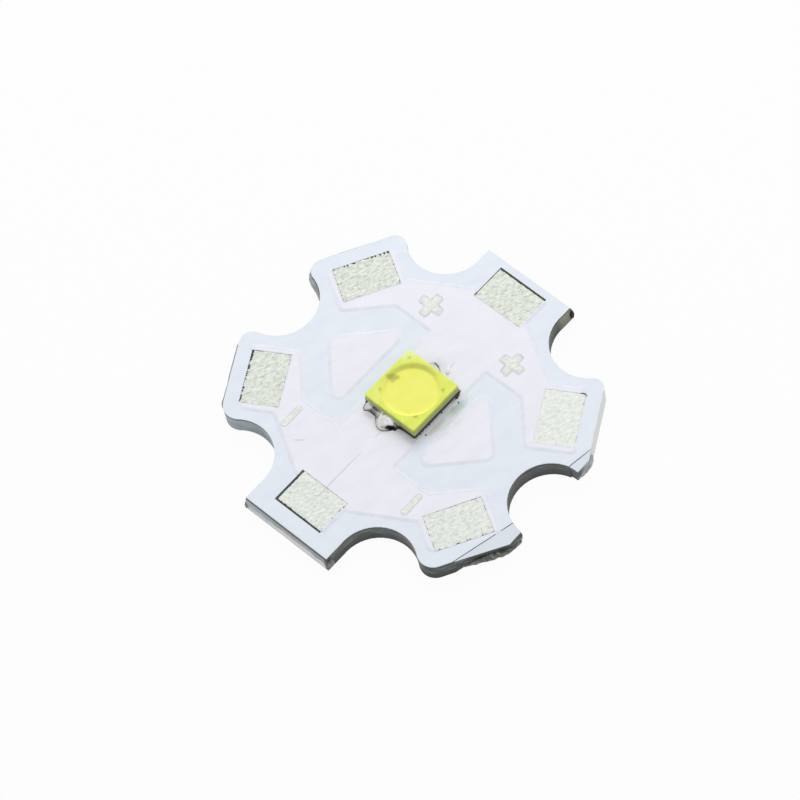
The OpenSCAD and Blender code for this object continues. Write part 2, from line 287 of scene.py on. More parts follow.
def bead(path: Array, radius: Array, seed: int, squash: float = 1.0, rough: float = 0.3) -> Shell:
    """A round bead carried along a path, closed to a point at both ends.

    Each ring is a circle across the path, flattened by the squash, its radius moved by a fine relief.

    Args:
        path: (n, 3) points, mm.
        radius: (n,) radius, mm.
        seed: seed of the unevenness.
        squash: height over width.
        rough: share by which the radius is moved.

    Returns:
        The closed bead.
    """
    along = np.gradient(path, axis=0)
    along /= np.linalg.norm(along, axis=1, keepdims=True)
    side = np.cross(along, [0, 0, 1.0])
    side /= np.linalg.norm(side, axis=1, keepdims=True)
    up = np.cross(side, along)
    angle = np.linspace(0, 2 * np.pi, 14, endpoint=False)
    s = np.arange(len(path))[:, None] * 0.35
    uneven = radius[:, None] * (1 + rough * grain(s, angle[None] * 1.2, 1.0, seed, 2))
    rings = (path[:, None] + (uneven * np.cos(angle))[..., None] * side[:, None]
             + (squash * uneven * np.sin(angle))[..., None] * up[:, None])
    first, last = 0.3 * along[[0, -1]] * radius[[0, -1], None]
    return Shell.rings(rings, path[0] - first, path[-1] + last)


class Graph:
    """Node tree of one material or of the world."""

    def __init__(self, holder: bpy.types.Material | bpy.types.World) -> None:
        """Starts an empty tree.

        Args:
            holder: the material or world that it belongs to.
        """
        holder.use_nodes = True
        self.tree = holder.node_tree
        self.tree.nodes.clear()

    def add(self, kind: str, inputs: dict[Any, Any] | None = None, stops: Tones = (), **fields: Any) -> Any:
        """Adds a node with its settings and links.

        Args:
            kind: Blender's node type.
            inputs: value or socket for each input, by name or number.
            stops: places and sRGB hex values of a colour ramp.
            **fields: the node's own settings.

        Returns:
            The node.
        """
        node = self.tree.nodes.new(kind)
        for key, value in fields.items():
            setattr(node, key, value)
        for key, value in (inputs or {}).items():
            if isinstance(value, Socket):
                self.tree.links.new(value, node.inputs[key])
            else:
                node.inputs[key].default_value = value
        for number, (place, code) in enumerate(stops):
            elements = node.color_ramp.elements
            stop = elements[number] if number < 2 else elements.new(place)
            stop.position, stop.color = place, linear(code)
        return node


@dataclass(frozen=True)
class StainAndLightPatch:
    """A soft-edged tint with a ragged density, in an ellipsoid that takes in every height if not told: a
    real stain, or painted light or shade.
    """

    x: float
    y: float
    half_x: float
    half_y: float
    turn: float
    code: str
    density: float
    patch_mm: float = 0.35
    z: float = 0.0
    half_z: float = 1000.0

    def over(self, graph: Graph, place: Socket, under: Socket) -> Socket:
        """Lays the tint over a colour.

        Where the distance from the middle, in half sizes, plus a noise is below 0.8 the tint has its
        full density, and from there it eases to nothing at 1.5.

        Args:
            graph: the material in hand.
            place: Object coordinates.
            under: the colour below.

        Returns:
            The tinted colour.
        """
        local = graph.add("ShaderNodeMapping", {
            "Vector": place, "Location": (self.x * MM, self.y * MM, self.z * MM),
            "Rotation": (0, 0, np.radians(self.turn)),
            "Scale": (self.half_x * MM, self.half_y * MM, self.half_z * MM)}, vector_type="TEXTURE")
        away = graph.add("ShaderNodeVectorMath", {0: local.outputs[0]}, operation="LENGTH")
        breakup = graph.add("ShaderNodeTexNoise", {
            "Vector": place, "Scale": 1 / (MM * self.patch_mm), "Detail": 3.0, "Roughness": 0.6})
        ragged = graph.add("ShaderNodeMath", {0: breakup.outputs[0], 1: away.outputs["Value"]},
                           operation="ADD")
        amount = graph.add("ShaderNodeMapRange", {
            "Value": ragged.outputs[0], "From Min": 0.8, "From Max": 1.5,
            "To Min": self.density, "To Max": 0.0}, interpolation_type="SMOOTHSTEP")
        return graph.add("ShaderNodeMix", {0: amount.outputs[0], 6: under, 7: linear(self.code)},
                         data_type="RGBA").outputs[2]


@dataclass(frozen=True)
class Finish:
    """A surface finish: mottled tones under stains and painted light and shade, a fine grain in gloss and
    relief, and a shader.
    """

    name: str
    tones: Tones
    grain_mm: float
    stretch: Place = (1, 1, 1)
    turn: float = 0.0
    fine_mm: float = 0.08
    bump_mm: float = 0.002
    roughness: tuple[float, float] = (0.4, 0.5)
    metallic: float = 0.0
    ior: float = 1.5
    coat: float = 0.0
    stains_and_light: tuple[StainAndLightPatch, ...] = ()

    def colour(self, graph: Graph, place: Socket, mottle: Socket) -> Socket:
        """Colour of the clean surface: here the tones, spread by the mottle alone."""
        return graph.add("ShaderNodeValToRGB", {0: mottle}, self.tones).outputs[0]

    def material(self) -> bpy.types.Material:
        """Builds the node material, or gives the one already built.

        Returns:
            The material, named for this finish.
        """
        if self.name in bpy.data.materials:
            return bpy.data.materials[self.name]
        material = bpy.data.materials.new(self.name)
        graph = Graph(material)
        place = graph.add("ShaderNodeTexCoord").outputs["Object"]
        coarse = graph.add("ShaderNodeMapping", {
            "Vector": place, "Rotation": (0, 0, np.radians(self.turn)),
            "Scale": tuple(MM * self.grain_mm * s for s in self.stretch)}, vector_type="TEXTURE")
        mottle = graph.add("ShaderNodeTexNoise", {
            "Vector": coarse.outputs[0], "Scale": 1.0, "Detail": 4.0, "Roughness": 0.6})
        colour = self.colour(graph, place, mottle.outputs[0])
        for stain_and_light in self.stains_and_light:
            colour = stain_and_light.over(graph, place, colour)
        fine = graph.add("ShaderNodeTexNoise", {
            "Vector": place, "Scale": 1 / (MM * self.fine_mm), "Detail": 2.0, "Roughness": 0.5})
        gloss = graph.add("ShaderNodeMapRange", {
            "Value": fine.outputs[0], "From Min": 0.3, "From Max": 0.7,
            "To Min": self.roughness[0], "To Max": self.roughness[1]})
        relief = graph.add("ShaderNodeBump", {
            "Height": fine.outputs[0], "Strength": 1.0, "Distance": self.bump_mm * MM})
        shader = graph.add("ShaderNodeBsdfPrincipled", {
            "Base Color": colour, "Roughness": gloss.outputs[0], "Normal": relief.outputs[0],
            "Metallic": self.metallic, "IOR": self.ior, "Coat Weight": self.coat, "Coat Roughness": 0.15})
        graph.add("ShaderNodeOutputMaterial", {"Surface": shader.outputs[0]})
        return material


@dataclass(frozen=True)
class MaskFinish(Finish):
    """White lacquer that is warmer where copper lies under it."""

    cover_tones: Tones = ()
    step_mm: float = 1.265

    def colour(self, graph: Graph, place: Socket, mottle: Socket) -> Socket:
        """Two sets of tones by height, one on the bare board and one over copper.

        Args:
            graph: the material in hand.
            place: Object coordinates.
            mottle: the noise that spreads the tones.

        Returns:
            The colour of the clean lacquer.
        """
        bare = super().colour(graph, place, mottle)
        cover = graph.add("ShaderNodeValToRGB", {0: mottle}, self.cover_tones)
        height = graph.add("ShaderNodeSeparateXYZ", {0: place})
        raised = graph.add("ShaderNodeMath", {0: height.outputs[2], 1: self.step_mm * MM},
                           operation="GREATER_THAN")
        return graph.add("ShaderNodeMix", {0: raised.outputs[0], 6: bare, 7: cover.outputs[0]},
                         data_type="RGBA").outputs[2]


@dataclass(frozen=True)
class LayeredFinish(Finish):
    """A finish with painted shade by height, as on a cut edge or a package's side."""

    low_mm: float = 0.0
    high_mm: float = 1.0
    shades: Tones = ()

    def colour(self, graph: Graph, place: Socket, mottle: Socket) -> Socket:
        """The mottled tones times a painted shade that runs from the low height to the high one.

        Args:
            graph: the material in hand.
            place: Object coordinates.
            mottle: the noise that spreads the tones.

        Returns:
            The shaded colour.
        """
        base = super().colour(graph, place, mottle)
        height = graph.add("ShaderNodeSeparateXYZ", {0: place})
        level = graph.add("ShaderNodeMapRange", {
            "Value": height.outputs[2], "From Min": self.low_mm * MM, "From Max": self.high_mm * MM})
        shade = graph.add("ShaderNodeValToRGB", {0: level.outputs[0]}, self.shades)
        return graph.add("ShaderNodeMix", {0: 1.0, 6: base, 7: shade.outputs[0]},
                         data_type="RGBA", blend_type="MULTIPLY").outputs[2]


# Flux that boiled out of the joints and dried: brown by the minus joint. The grey-green haze on the right
# and the dark line along the package's near foot are painted shade, the package's shadow, with some flux in
# them
FLUX_AND_SHADE_STAINS = (
    # Painted shadow of the package: a grey-green haze, with brown flux in it
    StainAndLightPatch(0.4, -2.3, 2.0, 0.8, 4, "CFD5D2", 0.6),
    StainAndLightPatch(1.1, -2.25, 0.8, 0.35, -6, "B4C2B8", 0.7, 0.25),
    StainAndLightPatch(-0.5, -2.15, 0.9, 0.3, 0, "C8BEB4", 0.6, 0.25),
    # Painted shade: a dark line along the package's near foot, with flux dots beside it
    StainAndLightPatch(0.1, -1.8, 1.9, 0.13, 0, "5A564C", 0.8, 0.2),
    StainAndLightPatch(1.55, -1.85, 0.35, 0.14, 10, "4A3428", 0.8, 0.12),
    StainAndLightPatch(-2.3, 0.1, 0.5, 0.8, 0, "DDD6D0", 0.6),
    StainAndLightPatch(-2.15, 1.1, 0.3, 0.55, 0, "CFC6C0", 0.5, 0.2),
    StainAndLightPatch(-1.75, -1.8, 0.5, 0.4, 0, "C9CBC6", 0.6, 0.2),
    StainAndLightPatch(2.4, 0.2, 0.5, 0.7, 0, "DADBDE", 0.6),
)
# Two paler patches on the top, painted shade on the dish's far arc, the mark over the protection diode, and
# painted shade in four creases on the rim
RIM_MARKS_AND_SHADE = (
    StainAndLightPatch(1.6, 1.6, 0.8, 0.5, -45, "F2F7B4", 0.5),
    StainAndLightPatch(-1.3, 1.3, 1.0, 0.3, 45, "F0F592", 0.4),
    # Painted shade on the dish's far arc
    StainAndLightPatch(1.6, 0.1, 0.2, 0.9, 5, "B6C44A", 0.27, 3.0),
    StainAndLightPatch(1.45, 0.7, 0.2, 0.9, 26, "B6C44A", 0.27, 3.0),
    StainAndLightPatch(1.12, 1.18, 0.2, 0.9, 48, "B6C44A", 0.27, 3.0),
    StainAndLightPatch(0.6, 1.46, 0.2, 0.9, 70, "B6C44A", 0.27, 3.0),
    StainAndLightPatch(0.04, 1.5, 0.34, 0.24, -20, "A6B04A", 0.75, 0.3),
    StainAndLightPatch(0.24, 1.27, 0.24, 0.29, 20, "A6B04A", 0.75, 0.3),
    StainAndLightPatch(-0.02, 1.27, 0.24, 0.26, -20, "AAB44C", 0.6, 0.3),
    # Painted shade in the creases on the rim
    StainAndLightPatch(-0.92, 1.34, 0.24, 0.15, 45, "B8C254", 0.45, 0.3),
    StainAndLightPatch(1.13, -1.31, 0.26, 0.15, 45, "AEB84E", 0.5, 0.3),
    StainAndLightPatch(-0.96, -1.24, 0.24, 0.15, -45, "BAC456", 0.45, 0.3),
    StainAndLightPatch(1.46, 1.42, 0.2, 0.15, 0, "C4CE66", 0.5, 0.3),
)
# Painted dark reflections on the near flank of the minus joint's drip and round the plus joint's bead, and
# painted shade, with some burnt flux, along the package's foot
SOLDER_REFLECTIONS_AND_SHADE = (
    # Painted dark reflection on the drip
    StainAndLightPatch(-2.06, -0.34, 0.52, 0.2, -51, "0A0A09", 0.99, 0.3),
    # Painted shade along the package's foot
    StainAndLightPatch(-1.74, -0.9, 0.13, 0.95, 0, "14120F", 0.95, 0.3),
    StainAndLightPatch(-1.72, 1.0, 0.07, 0.7, 0, "2A2723", 0.9, 1.0),
    StainAndLightPatch(-2.0, 0.66, 0.16, 0.1, 0, "3A3733", 0.6, 0.3),
    StainAndLightPatch(2.36, 0.3, 0.17, 0.5, -10, "2E2E2A", 0.9, 0.3),
)
# Painted light: white over the routed end that the light washes out
END_PAINTED_LIGHT = StainAndLightPatch(4.99, -8.63, 4.5, 0.6, 30, "FFFFFF", 0.97, 4.0)
# Walls of the core: painted shade in a notch; painted light on walls that the lamp leaves in shade, namely
# the score line's groove and its brighter snapped web, the washed-out end, a notch and a corner; and
# brown-grey smears by the snapped corners
EDGE_LIGHT_SHADE_AND_SMEARS = (
    # Painted shade in the notch
    StainAndLightPatch(0.0, -9.74, 4.0, 4.0, 0, "3A3E3C", 0.6, 3.0),
    # Painted light on the score line's end wall: its groove, then its snapped web
    StainAndLightPatch(-9.9, 0.0, 0.5, 14.0, 0, "B0B8BA", 0.95, 0.8, 1.0, 0.6),
    StainAndLightPatch(-10.0, 1.0, 0.5, 14.0, 0, "FFFFFF", 0.95, 0.8, 0.47, 0.5),
    END_PAINTED_LIGHT,
    # Painted light on a notch and a corner that lie in shade
    StainAndLightPatch(-8.53, 5.12, 5.0, 5.0, 0, "CCD6DC", 0.85, 3.0),
    StainAndLightPatch(2.1, 9.2, 1.6, 1.6, 0, "BCC0C2", 0.7, 3.0),
    StainAndLightPatch(9.0, -3.05, 0.8, 0.6, 0, "A09A8A", 0.8, 0.4),
    StainAndLightPatch(-9.8, -2.95, 0.4, 0.3, 0, "3A3228", 0.75, 0.3),
    StainAndLightPatch(-3.3, -9.5, 0.8, 0.35, -24, "3A392E", 0.6, 0.3),
    StainAndLightPatch(-4.5, -8.95, 0.9, 0.3, -28, "55523F", 0.5, 0.4),
)

# White solder mask: photo-imaged epoxy lacquer, satin, cool white with a faint cloudiness, under flux stains
# and the package's painted shadow
MASK = MaskFinish(
    "white_solder_mask", ((0.3, "E0E7F1"), (0.5, "E3EAF3"), (0.7, "E6EDF6")), 0.7, (2.2, 1, 1), -21,
    0.12, 0.0014, (0.36, 0.5), stains_and_light=FLUX_AND_SHADE_STAINS,
    cover_tones=((0.3, "E9E9F2"), (0.5, "ECECF5"), (0.7, "EFEFF7")))
# The same lacquer where it thins over an edge, so the dark below greys it
LACQUER_EDGE = Finish(
    "thin_lacquer_edge", ((0.3, "DFE1EC"), (0.5, "E5E7F1"), (0.7, "EAECF5")), 0.5, fine_mm=0.1,
    bump_mm=0.001, roughness=(0.4, 0.55))
# Hot-air-levelled tin: smeared along one way, pale ridges beside dull grey-green hollows
TIN = Finish(
    "hot_air_levelled_tin", ((0.28, "B2B9AE"), (0.42, "D3D9CE"), (0.56, "E4E9DF"), (0.72, "F4F6F1")), 0.13,
    (1.9, 1, 1), -21, 0.06, 0.005, (0.4, 0.65), 0.4)
# The same tin in paler tones, on two of the pads
PALE_TIN = replace(TIN, name="bright_levelled_tin", tones=(
    (0.28, "C3C9C1"), (0.42, "DCE1DA"), (0.56, "E8ECE6"), (0.72, "F5F7F2")))
# The smoothest of the pads, hardly dulled at all
SMOOTH_TIN = replace(TIN, name="smooth_levelled_tin", bump_mm=0.003, tones=(
    (0.28, "D0D6CF"), (0.42, "E2E7E0"), (0.56, "EBEFE9"), (0.72, "F6F8F4")))
# Thin tin in the polarity signs: cream, hardly darker than the lacquer
SIGN_TIN = replace(TIN, name="thin_levelled_tin", tones=(
    (0.28, "CBD0C6"), (0.42, "DFE2D9"), (0.56, "EAEDE6"), (0.72, "F6F8F4")), metallic=0.1)
# Rim of a polarity sign, greyed by the shadow in its seam
SIGN_RIM = replace(LACQUER_EDGE, name="lacquer_sign_rim", tones=(
    (0.3, "C8CBCF"), (0.5, "D6D8DD"), (0.7, "E1E2E8")))
# Aluminium core, routed round the edge: bands of tool marks that run along the cut, with painted shade that
# darkens it towards the foot
ALUMINIUM = LayeredFinish(
    "routed_aluminium", ((0.28, "343834"), (0.5, "626866"), (0.72, "A2A8A8")), 0.8, (1, 1, 0.16),
    fine_mm=0.05, bump_mm=0.003, roughness=(0.45, 0.65), metallic=0.1, high_mm=1.1,
    shades=((0.0, "303232"), (0.14, "5E6060"), (0.4, "A4A6A6"), (0.78, "F4F6F4"), (0.94, "FFFFFF"),
            (1.0, "B4B8AA")),
    stains_and_light=EDGE_LIGHT_SHADE_AND_SMEARS)
# Filled epoxy between core and foil: a dark, dull line in the board's edge, under the routed end's painted
# light
RESIN = Finish(
    "filled_epoxy", ((0.3, "2B302A"), (0.7, "4A5047")), 0.3, bump_mm=0.003, roughness=(0.5, 0.7),
    stains_and_light=(END_PAINTED_LIGHT,))
# Etched copper foil, darkened to grey-brown as painted shade, since it shows only in the trenches where tin
# and lacquer leave it bare
COPPER = Finish("copper_foil_in_painted_shade", ((0.3, "403E3A"), (0.5, "5E5F59"), (0.7, "7F8179")), 0.15,
                roughness=(0.4, 0.6), metallic=0.4)
# Reflowed solder: a bright, nearly smooth skin, darkened to black towards its foot as painted shade, under
# painted dark reflections
SOLDER = LayeredFinish(
    "reflowed_solder", ((0.3, "C9CACA"), (0.7, "F4F4F2")), 0.4, fine_mm=0.1, bump_mm=0.003,
    roughness=(0.1, 0.24), metallic=1.0, low_mm=1.26, high_mm=1.62,
    shades=((0.0, "2A2A28"), (0.1, "5E5E5C"), (0.26, "DCDCDA"), (1.0, "FFFFFF")), stains_and_light=SOLDER_REFLECTIONS_AND_SHADE)
# Gold flash on the contacts: warm, thin and bright
GOLD = Finish("gold_flash", ((0.3, "C3A258"), (0.7, "E0C47C")), 0.2, roughness=(0.25, 0.4), metallic=1.0)
# Fired alumina under spilled phosphor: dull and green-grey, darkened to black towards its foot by painted
# shade, with flux in the seam
CERAMIC = LayeredFinish(
    "fired_alumina", ((0.3, "B4BE96"), (0.7, "CAD2AC")), 0.3, fine_mm=0.06, bump_mm=0.002,
    roughness=(0.55, 0.7), low_mm=1.34, high_mm=1.7,
    shades=((0.0, "1A1B18"), (0.1, "3A3C36"), (0.24, "A0A39A"), (0.6, "E4E6E0"), (1.0, "FFFFFF")))
# Phosphor powder in silicone: soft yellow-green, faintly grainy, with painted shade that darkens it low on
# its sides, under the rim's marks and painted shade
PHOSPHOR = LayeredFinish(
    "phosphor_silicone", ((0.3, "DBE661"), (0.7, "E7F16F")), 0.5, fine_mm=0.05, bump_mm=0.0015,
    roughness=(0.38, 0.5), ior=1.42, low_mm=1.7, high_mm=2.02,
    shades=((0.0, "AEB69A"), (0.35, "CDD2B0"), (0.55, "DCDFC8"), (0.8, "E6E8D8"), (0.97, "FFFFFF")),
    stains_and_light=RIM_MARKS_AND_SHADE)
# Clear silicone over the phosphor: pale warm yellow, smoother than the coat round it, under the rim's marks
# and painted shade
LENS = Finish(
    "clear_silicone", ((0.3, "EEEE6C"), (0.7, "F3F37C")), 0.8, fine_mm=0.08, bump_mm=0.0008,
    roughness=(0.3, 0.4), ior=1.42, stains_and_light=RIM_MARKS_AND_SHADE)
# Sapphire chip, polished, under the phosphor: smooth and olive-yellow
DIE = Finish("sapphire_chip", ((0.3, "8C8428"), (0.7, "B3AA45")), 0.2, roughness=(0.3, 0.4))
# Charred flux in the seam under the package, where it is also painted shade of that seam: brown-black and
# glassy
FLUX = Finish("charred_flux", ((0.3, "1C1713"), (0.5, "3A3027"), (0.7, "6A5A48")), 0.12, fine_mm=0.05,
              bump_mm=0.004, roughness=(0.2, 0.4))
# Soot of burnt flux: black and dull
SOOT = replace(FLUX, name="flux_soot", tones=((0.3, "0A0A09"), (0.7, "1E1B18")), roughness=(0.6, 0.8))
# Clear flux, dried to a pale drop
CLEAR_FLUX = Finish("clear_flux_resin", ((0.3, "DCDDDC"), (0.7, "F1F1F2")), 0.15, roughness=(0.1, 0.2),
                    coat=0.5)
# Flux that dried to a pale, satin skin on the lands
FLUX_FILM = Finish("dried_flux_skin", ((0.3, "D9D9DF"), (0.7, "E9E9F0")), 0.3, roughness=(0.35, 0.5))
# Torn aluminium: smeared lips that catch the light beside dark folds
TORN = Finish("torn_aluminium", ((0.3, "4A4D4B"), (0.5, "8F9494"), (0.68, "E9EBEB")), 0.22, fine_mm=0.05,
              bump_mm=0.006, roughness=(0.22, 0.45), metallic=0.7)
# Torn web of the score line: dull grey with brown dirt in its folds
TORN_WEB = Finish("torn_score_aluminium", ((0.3, "44443C"), (0.5, "747670"), (0.7, "B0B4B2")), 0.28,
                  fine_mm=0.05, bump_mm=0.006, roughness=(0.4, 0.6), metallic=0.1)
# Aluminium rolled over by the router's exit: smooth, and pale grey as painted light, since it lies in shade
ROLLED = replace(TORN_WEB, name="rolled_aluminium", bump_mm=0.003, tones=(
    (0.3, "969C9E"), (0.5, "B2B8BA"), (0.7, "CCD1D3")))
# Thin dark burr left under the lacquer along two routed ends
BURR = replace(TORN_WEB, name="dark_burr_aluminium", tones=(
    (0.3, "5A6062"), (0.5, "747A7C"), (0.7, "949A9C")))
# Hair scratch through the lacquer's skin: a matt grey line
SCRATCH = Finish("lacquer_scratch", ((0.3, "A9AAB0"), (0.7, "CBCCD2")), 0.2, roughness=(0.5, 0.6))


def dress(node: bpy.types.Object, finish: Finish) -> None:
    """Puts a finish in every material slot of a CAD node.

    Args:
        node: the node's object.
        finish: its finish.
    """
    material = finish.material()
    if not node.material_slots:
        node.data.materials.append(material)
    for held in node.material_slots:
        held.material = material
    LOG.info("dressed %s in %s", node.name, finish.name)


def make(name: str, shell: Shell, finish: Finish, sharp: float = 50.0) -> bpy.types.Object:
    """Makes a piece of the object from a closed shell and rides it on the board.

    Args:
        name: the piece's name.
        shell: its points and faces, mm.
        finish: its finish.
        sharp: angle in degrees above which an edge stays sharp.

    Returns:
        The new object.
    """
    mesh = bpy.data.meshes.new(name)
    faces = [face for block in shell.faces for face in block.tolist()]
    mesh.from_pydata((shell.points * MM).tolist(), [], faces)
    work = bmesh.new()
    work.from_mesh(mesh)
    bmesh.ops.recalc_face_normals(work, faces=work.faces)
    work.to_mesh(mesh)
    work.free()
    mesh.polygons.foreach_set("use_smooth", np.ones(len(mesh.polygons), bool))
    mesh.set_sharp_from_angle(angle=np.radians(sharp))
    mesh.materials.append(finish.material())
    piece = bpy.data.objects.new(name, mesh)
    bpy.context.scene.collection.objects.link(piece)
    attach(piece, "root")
    LOG.info("made %s, %d faces", name, len(mesh.polygons))
    return piece


def node_points(node: bpy.types.Object) -> tuple[Array, Array]:
    """Merged points and triangles of a CAD node.

    Args:
        node: the node's object, whose triangles are loose.

    Returns:
        Points in mm, and triangles as point numbers.
    """
    mesh = node.data
    flat = np.empty(len(mesh.vertices) * 3, np.float32)
    mesh.vertices.foreach_get("co", flat)
    mesh.calc_loop_triangles()
    corners = np.empty(len(mesh.loop_triangles) * 3, np.int32)
    mesh.loop_triangles.foreach_get("vertices", corners)
    points = np.round(flat.reshape(-1, 3) / MM, 4)
    merged, number = np.unique(points, axis=0, return_inverse=True)
    return merged.astype(float), number.ravel()[corners].reshape(-1, 3)


@dataclass
class Heights:
    """Levels of the board and the package, and the package's sizes, mm, read from the frame."""

    bare: float = field(init=False)
    cover: float = field(init=False)
    tin: float = field(init=False)
    ceramic: float = field(init=False)
    coat: float = field(init=False)
    dish: float = field(init=False)
    top: float = field(init=False)
    led: Array = field(init=False)
    half: float = field(init=False)
    floor_r: float = field(init=False)

    def __post_init__(self) -> None:
        """Takes the levels, the package's middle and half width, and the dish's floor, from the boxes."""
        self.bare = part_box("positive_trace")[1].z / MM
        self.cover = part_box("solder_mask")[1].z / MM
        self.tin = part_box("positive_pad_centre")[1].z / MM
        self.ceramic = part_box("ceramic_substrate")[0].z / MM
        self.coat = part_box("phosphor_layer")[0].z / MM
        self.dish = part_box("silicone_lens")[1].z / MM
        self.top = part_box("phosphor_layer")[1].z / MM
        low, high = (np.array(corner)[:2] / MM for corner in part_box("ceramic_substrate"))
        self.led, self.half = (low + high) / 2, float((high - low)[0] / 2)
        self.floor_r = (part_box("silicone_lens")[1].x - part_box("silicone_lens")[0].x) / MM / 2


@dataclass
class Lacquer:
    """Edges of the white mask: steps over copper, the board's rim and the windows.

    Attributes:
        step_reach: width of the fillet at the foot of a step, mm.
        rim_reach: width of the lip round the board, mm.
        tolerance: how near a level a point counts as on it, mm.
        mitre: least squared length of a mean direction, which limits the stretch at a corner.
    """

    mask: bpy.types.Object
    level: Heights
    step_reach: float = 0.2
    rim_reach: float = 0.05
    tolerance: float = 1e-3
    mitre: float = 0.45

    def edges(self, level: float) -> tuple[Array, Array]:
        """Border of the mask's flat top at one level.

        An edge of the level's upward triangles that no second triangle shares is a border. Its
        triangle runs counter-clockwise, so the outside lies on its right.

        Args:
            level: height, mm.

        Returns:
            Points (n, 3), and border edges (m, 2) as point numbers.
        """
        points, triangles = node_points(self.mask)
        flat = triangles[(np.abs(points[triangles][:, :, 2] - level) < self.tolerance).all(1)]
        a, b, c = (points[flat[:, k], :2] for k in range(3))
        area = (b - a)[:, 0] * (c - a)[:, 1] - (b - a)[:, 1] * (c - a)[:, 0]
        flat = flat[area > 0]
        edges = np.concatenate([flat[:, [0, 1]], flat[:, [1, 2]], flat[:, [2, 0]]])
        key = np.sort(edges, 1)
        _, first, count = np.unique(key, axis=0, return_index=True, return_counts=True)
        return points, edges[first[count == 1]]

    def ribbon(self, points: Array, edges: Array, section: Array) -> Shell:
        """A closed section carried along border edges.

        At each point the section stands across the mean of its edges' outward directions,
        stretched so that the strip keeps its width round a corner, up to the mitre's limit.

        Args:
            points: all points, mm.
            edges: border edges with the outside on their right.
            section: (k, 2) outward distance and height of the section's corners.

        Returns:
            The strip, closed at loose ends.
        """
        used, local = np.unique(edges, return_inverse=True)
        local = local.reshape(edges.shape)
        along = points[edges[:, 1], :2] - points[edges[:, 0], :2]
        along /= np.linalg.norm(along, axis=1, keepdims=True)
        out = np.stack([along[:, 1], -along[:, 0]], 1)
        mean, ends = np.zeros((len(used), 2)), np.zeros(len(used), int)
        np.add.at(mean, local.ravel(), np.repeat(out, 2, axis=0))
        np.add.at(ends, local.ravel(), 1)
        mean /= ends[:, None]
        mean /= np.maximum((mean ** 2).sum(1, keepdims=True), self.mitre)
        k = len(section)
        grid = np.empty((len(used), k, 3))
        grid[:, :, :2] = points[used, None, :2] + mean[:, None] * section[None, :, :1]
        grid[:, :, 2] = section[None, :, 1]
        j = np.arange(k)
        a, b = local[:, :1] * k, local[:, 1:] * k
        sides = np.stack([a + j, b + j, b + (j + 1) % k, a + (j + 1) % k], -1).reshape(-1, 4)
        caps = np.flatnonzero(ends == 1)[:, None] * k + j
        return Shell(grid.reshape(-1, 3), [sides, caps])

    @staticmethod
    def shared(points: Array, edges: Array) -> Array:
        """Marks the points that lie straight over or under an end of some edges.

        Args:
            points: all points, mm.
            edges: the edges, as point numbers.

        Returns:
            True for each point that has the X and Y of an edge's end, to a thousandth.
        """
        place = np.unique(np.round(points[:, :2], 3), axis=0, return_inverse=True)[1].ravel()
        return np.isin(place, place[edges])

    def build(self) -> None:
        """Makes the rounded step over copper, and the thin lips of the windows and the board's rim."""
        points, high = self.edges(self.level.cover)
        _, low = self.edges(self.level.bare)
        stepped = self.shared(points, low)[high].all(1)
        rim = low[~self.shared(points, high)[low].all(1)]
        bare, cover, reach, lip = self.level.bare, self.level.cover, self.step_reach, self.rim_reach
        strips = (
            ("mask_step_fillet", high[stepped], (
                (-0.05, cover - 0.002), (-0.03, cover + 0.0008), (0.0, cover + 0.001),
                (reach * 0.3, cover - 0.007), (reach * 0.7, bare + 0.007), (reach, bare - 0.002),
                (0.0, bare - 0.004))),
            ("mask_window_lip", high[~stepped], (
                (-0.07, cover - 0.002), (-0.04, cover + 0.005), (-0.01, cover + 0.003),
                (0.005, cover - 0.01), (0.0, cover - 0.03), (-0.04, cover - 0.03))),
            ("mask_rim_lip", rim, (
                (-lip, bare - 0.002), (-lip * 0.5, bare + 0.004), (-0.01, bare + 0.001),
                (0.004, bare - 0.012), (0.002, bare - 0.04), (-lip, bare - 0.04))))
        for name, edges, section in strips:
            make(name, self.ribbon(points, edges, np.array(section)), LACQUER_EDGE)


